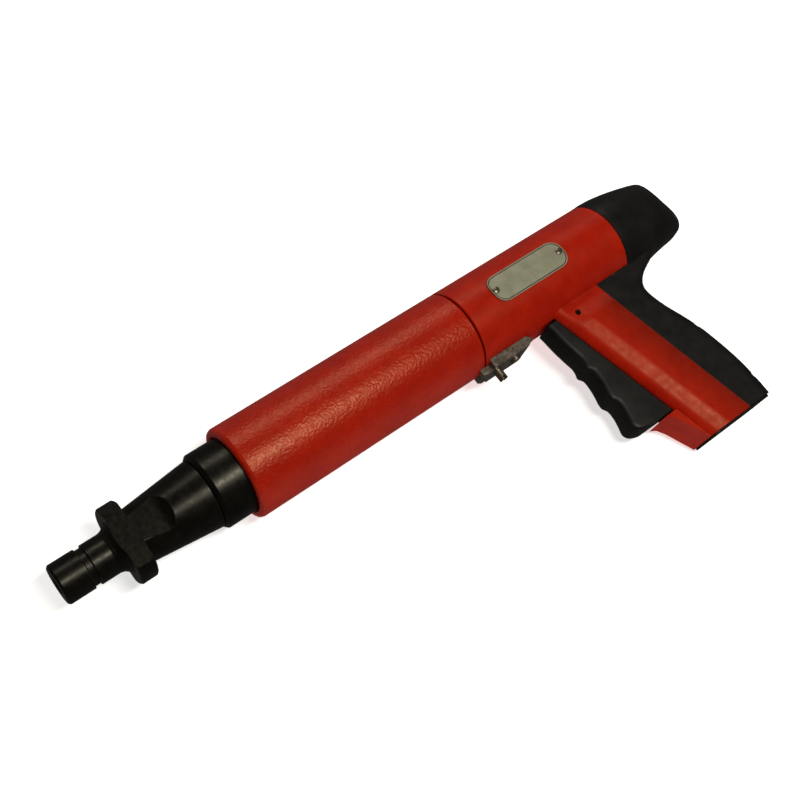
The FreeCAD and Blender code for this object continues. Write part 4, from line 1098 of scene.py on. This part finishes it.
# %% Floor
TILT = math.radians(5.49)
floor_mesh = bpy.data.meshes.new("floor")
across = Vector((1, 0, 0))
normal = Vector((0, math.sin(TILT), math.cos(TILT)))
along = normal.cross(across)
drop = -normal * (TUBE_RADIUS + 0.15) * MM
reach = 4.0
signs = ((-1, -1), (1, -1), (1, 1), (-1, 1))
corners = [drop + (across * a + along * b) * reach for a, b in signs]
floor_mesh.from_pydata(corners, [], [(0, 1, 2, 3)])
floor = bpy.data.objects.new("floor", floor_mesh)
bpy.context.scene.collection.objects.link(floor)
floor_finish = Finish("pale_floor", 0.7)
shade_of_white = floor_finish.blend(floor_finish.noise(300.0), (0.92, 0.92, 0.92, 1), (0.95, 0.95, 0.95, 1))
floor_finish.feed(floor_finish.shader.inputs["Emission Color"], shade_of_white)
floor_finish.shader.inputs["Emission Strength"].default_value = 0.70
floor_mesh.materials.append(floor_finish.done(shade_of_white))
floor.visible_glossy = False
print("floor tilts %.1f degrees to meet both the tube and the grip" % math.degrees(TILT))

# %% Light
world = bpy.data.worlds.new("studio")
bpy.context.scene.world = world
world.use_nodes = True
world.node_tree.nodes["Background"].inputs["Color"].default_value = (1, 0.985, 0.965, 1)
world.node_tree.nodes["Background"].inputs["Strength"].default_value = 0.07
AIM = Vector((200, -25, 0)) * MM
WARM = (1.0, 0.955, 0.86)


def lamp(name, place, power, wide, tall):
    """A soft rectangular lamp that faces the object, its long side along the barrel."""
    light = bpy.data.lights.new(name, "AREA")
    light.shape = "RECTANGLE"
    light.size, light.size_y = wide, tall
    light.energy = power
    light.color = WARM
    holder = bpy.data.objects.new(name, light)
    bpy.context.scene.collection.objects.link(holder)
    place = Vector(place) * MM
    outward = (place - AIM).normalized()
    long_side = (Vector((1, 0, 0)) - outward * outward.x).normalized()
    turned = Matrix((long_side, outward.cross(long_side), outward)).transposed().to_4x4()
    holder.matrix_world = Matrix.Translation(place) @ turned
    return holder


lamp("front_lamp", (270, -200, 900), 5.6, 0.42, 0.14)
lamp("top_lamp", (500, 950, 720), 4.2, 0.9, 0.30)

# %% Camera
camera = bpy.data.cameras.new("camera")
camera.lens = 53.45
camera.sensor_width = 36.0
camera.clip_start = 0.01
eye = bpy.data.objects.new("camera", camera)
bpy.context.scene.collection.objects.link(eye)
right, up = Vector((0.77435, -0.59757, 0.20806)), Vector((0.49706, 0.77794, 0.38438))
back = Vector((-0.39155, -0.19423, 0.89942))
turned = Matrix((right, up, back)).transposed().to_4x4()
eye.matrix_world = Matrix.Translation(Vector((-42.61, -115.85, 482.54)) * MM) @ turned
bpy.context.scene.camera = eye
bpy.context.scene.view_settings.view_transform = "Standard"
print("camera %.0f mm from the barrel's middle" % ((eye.matrix_world.translation - AIM).length / MM))
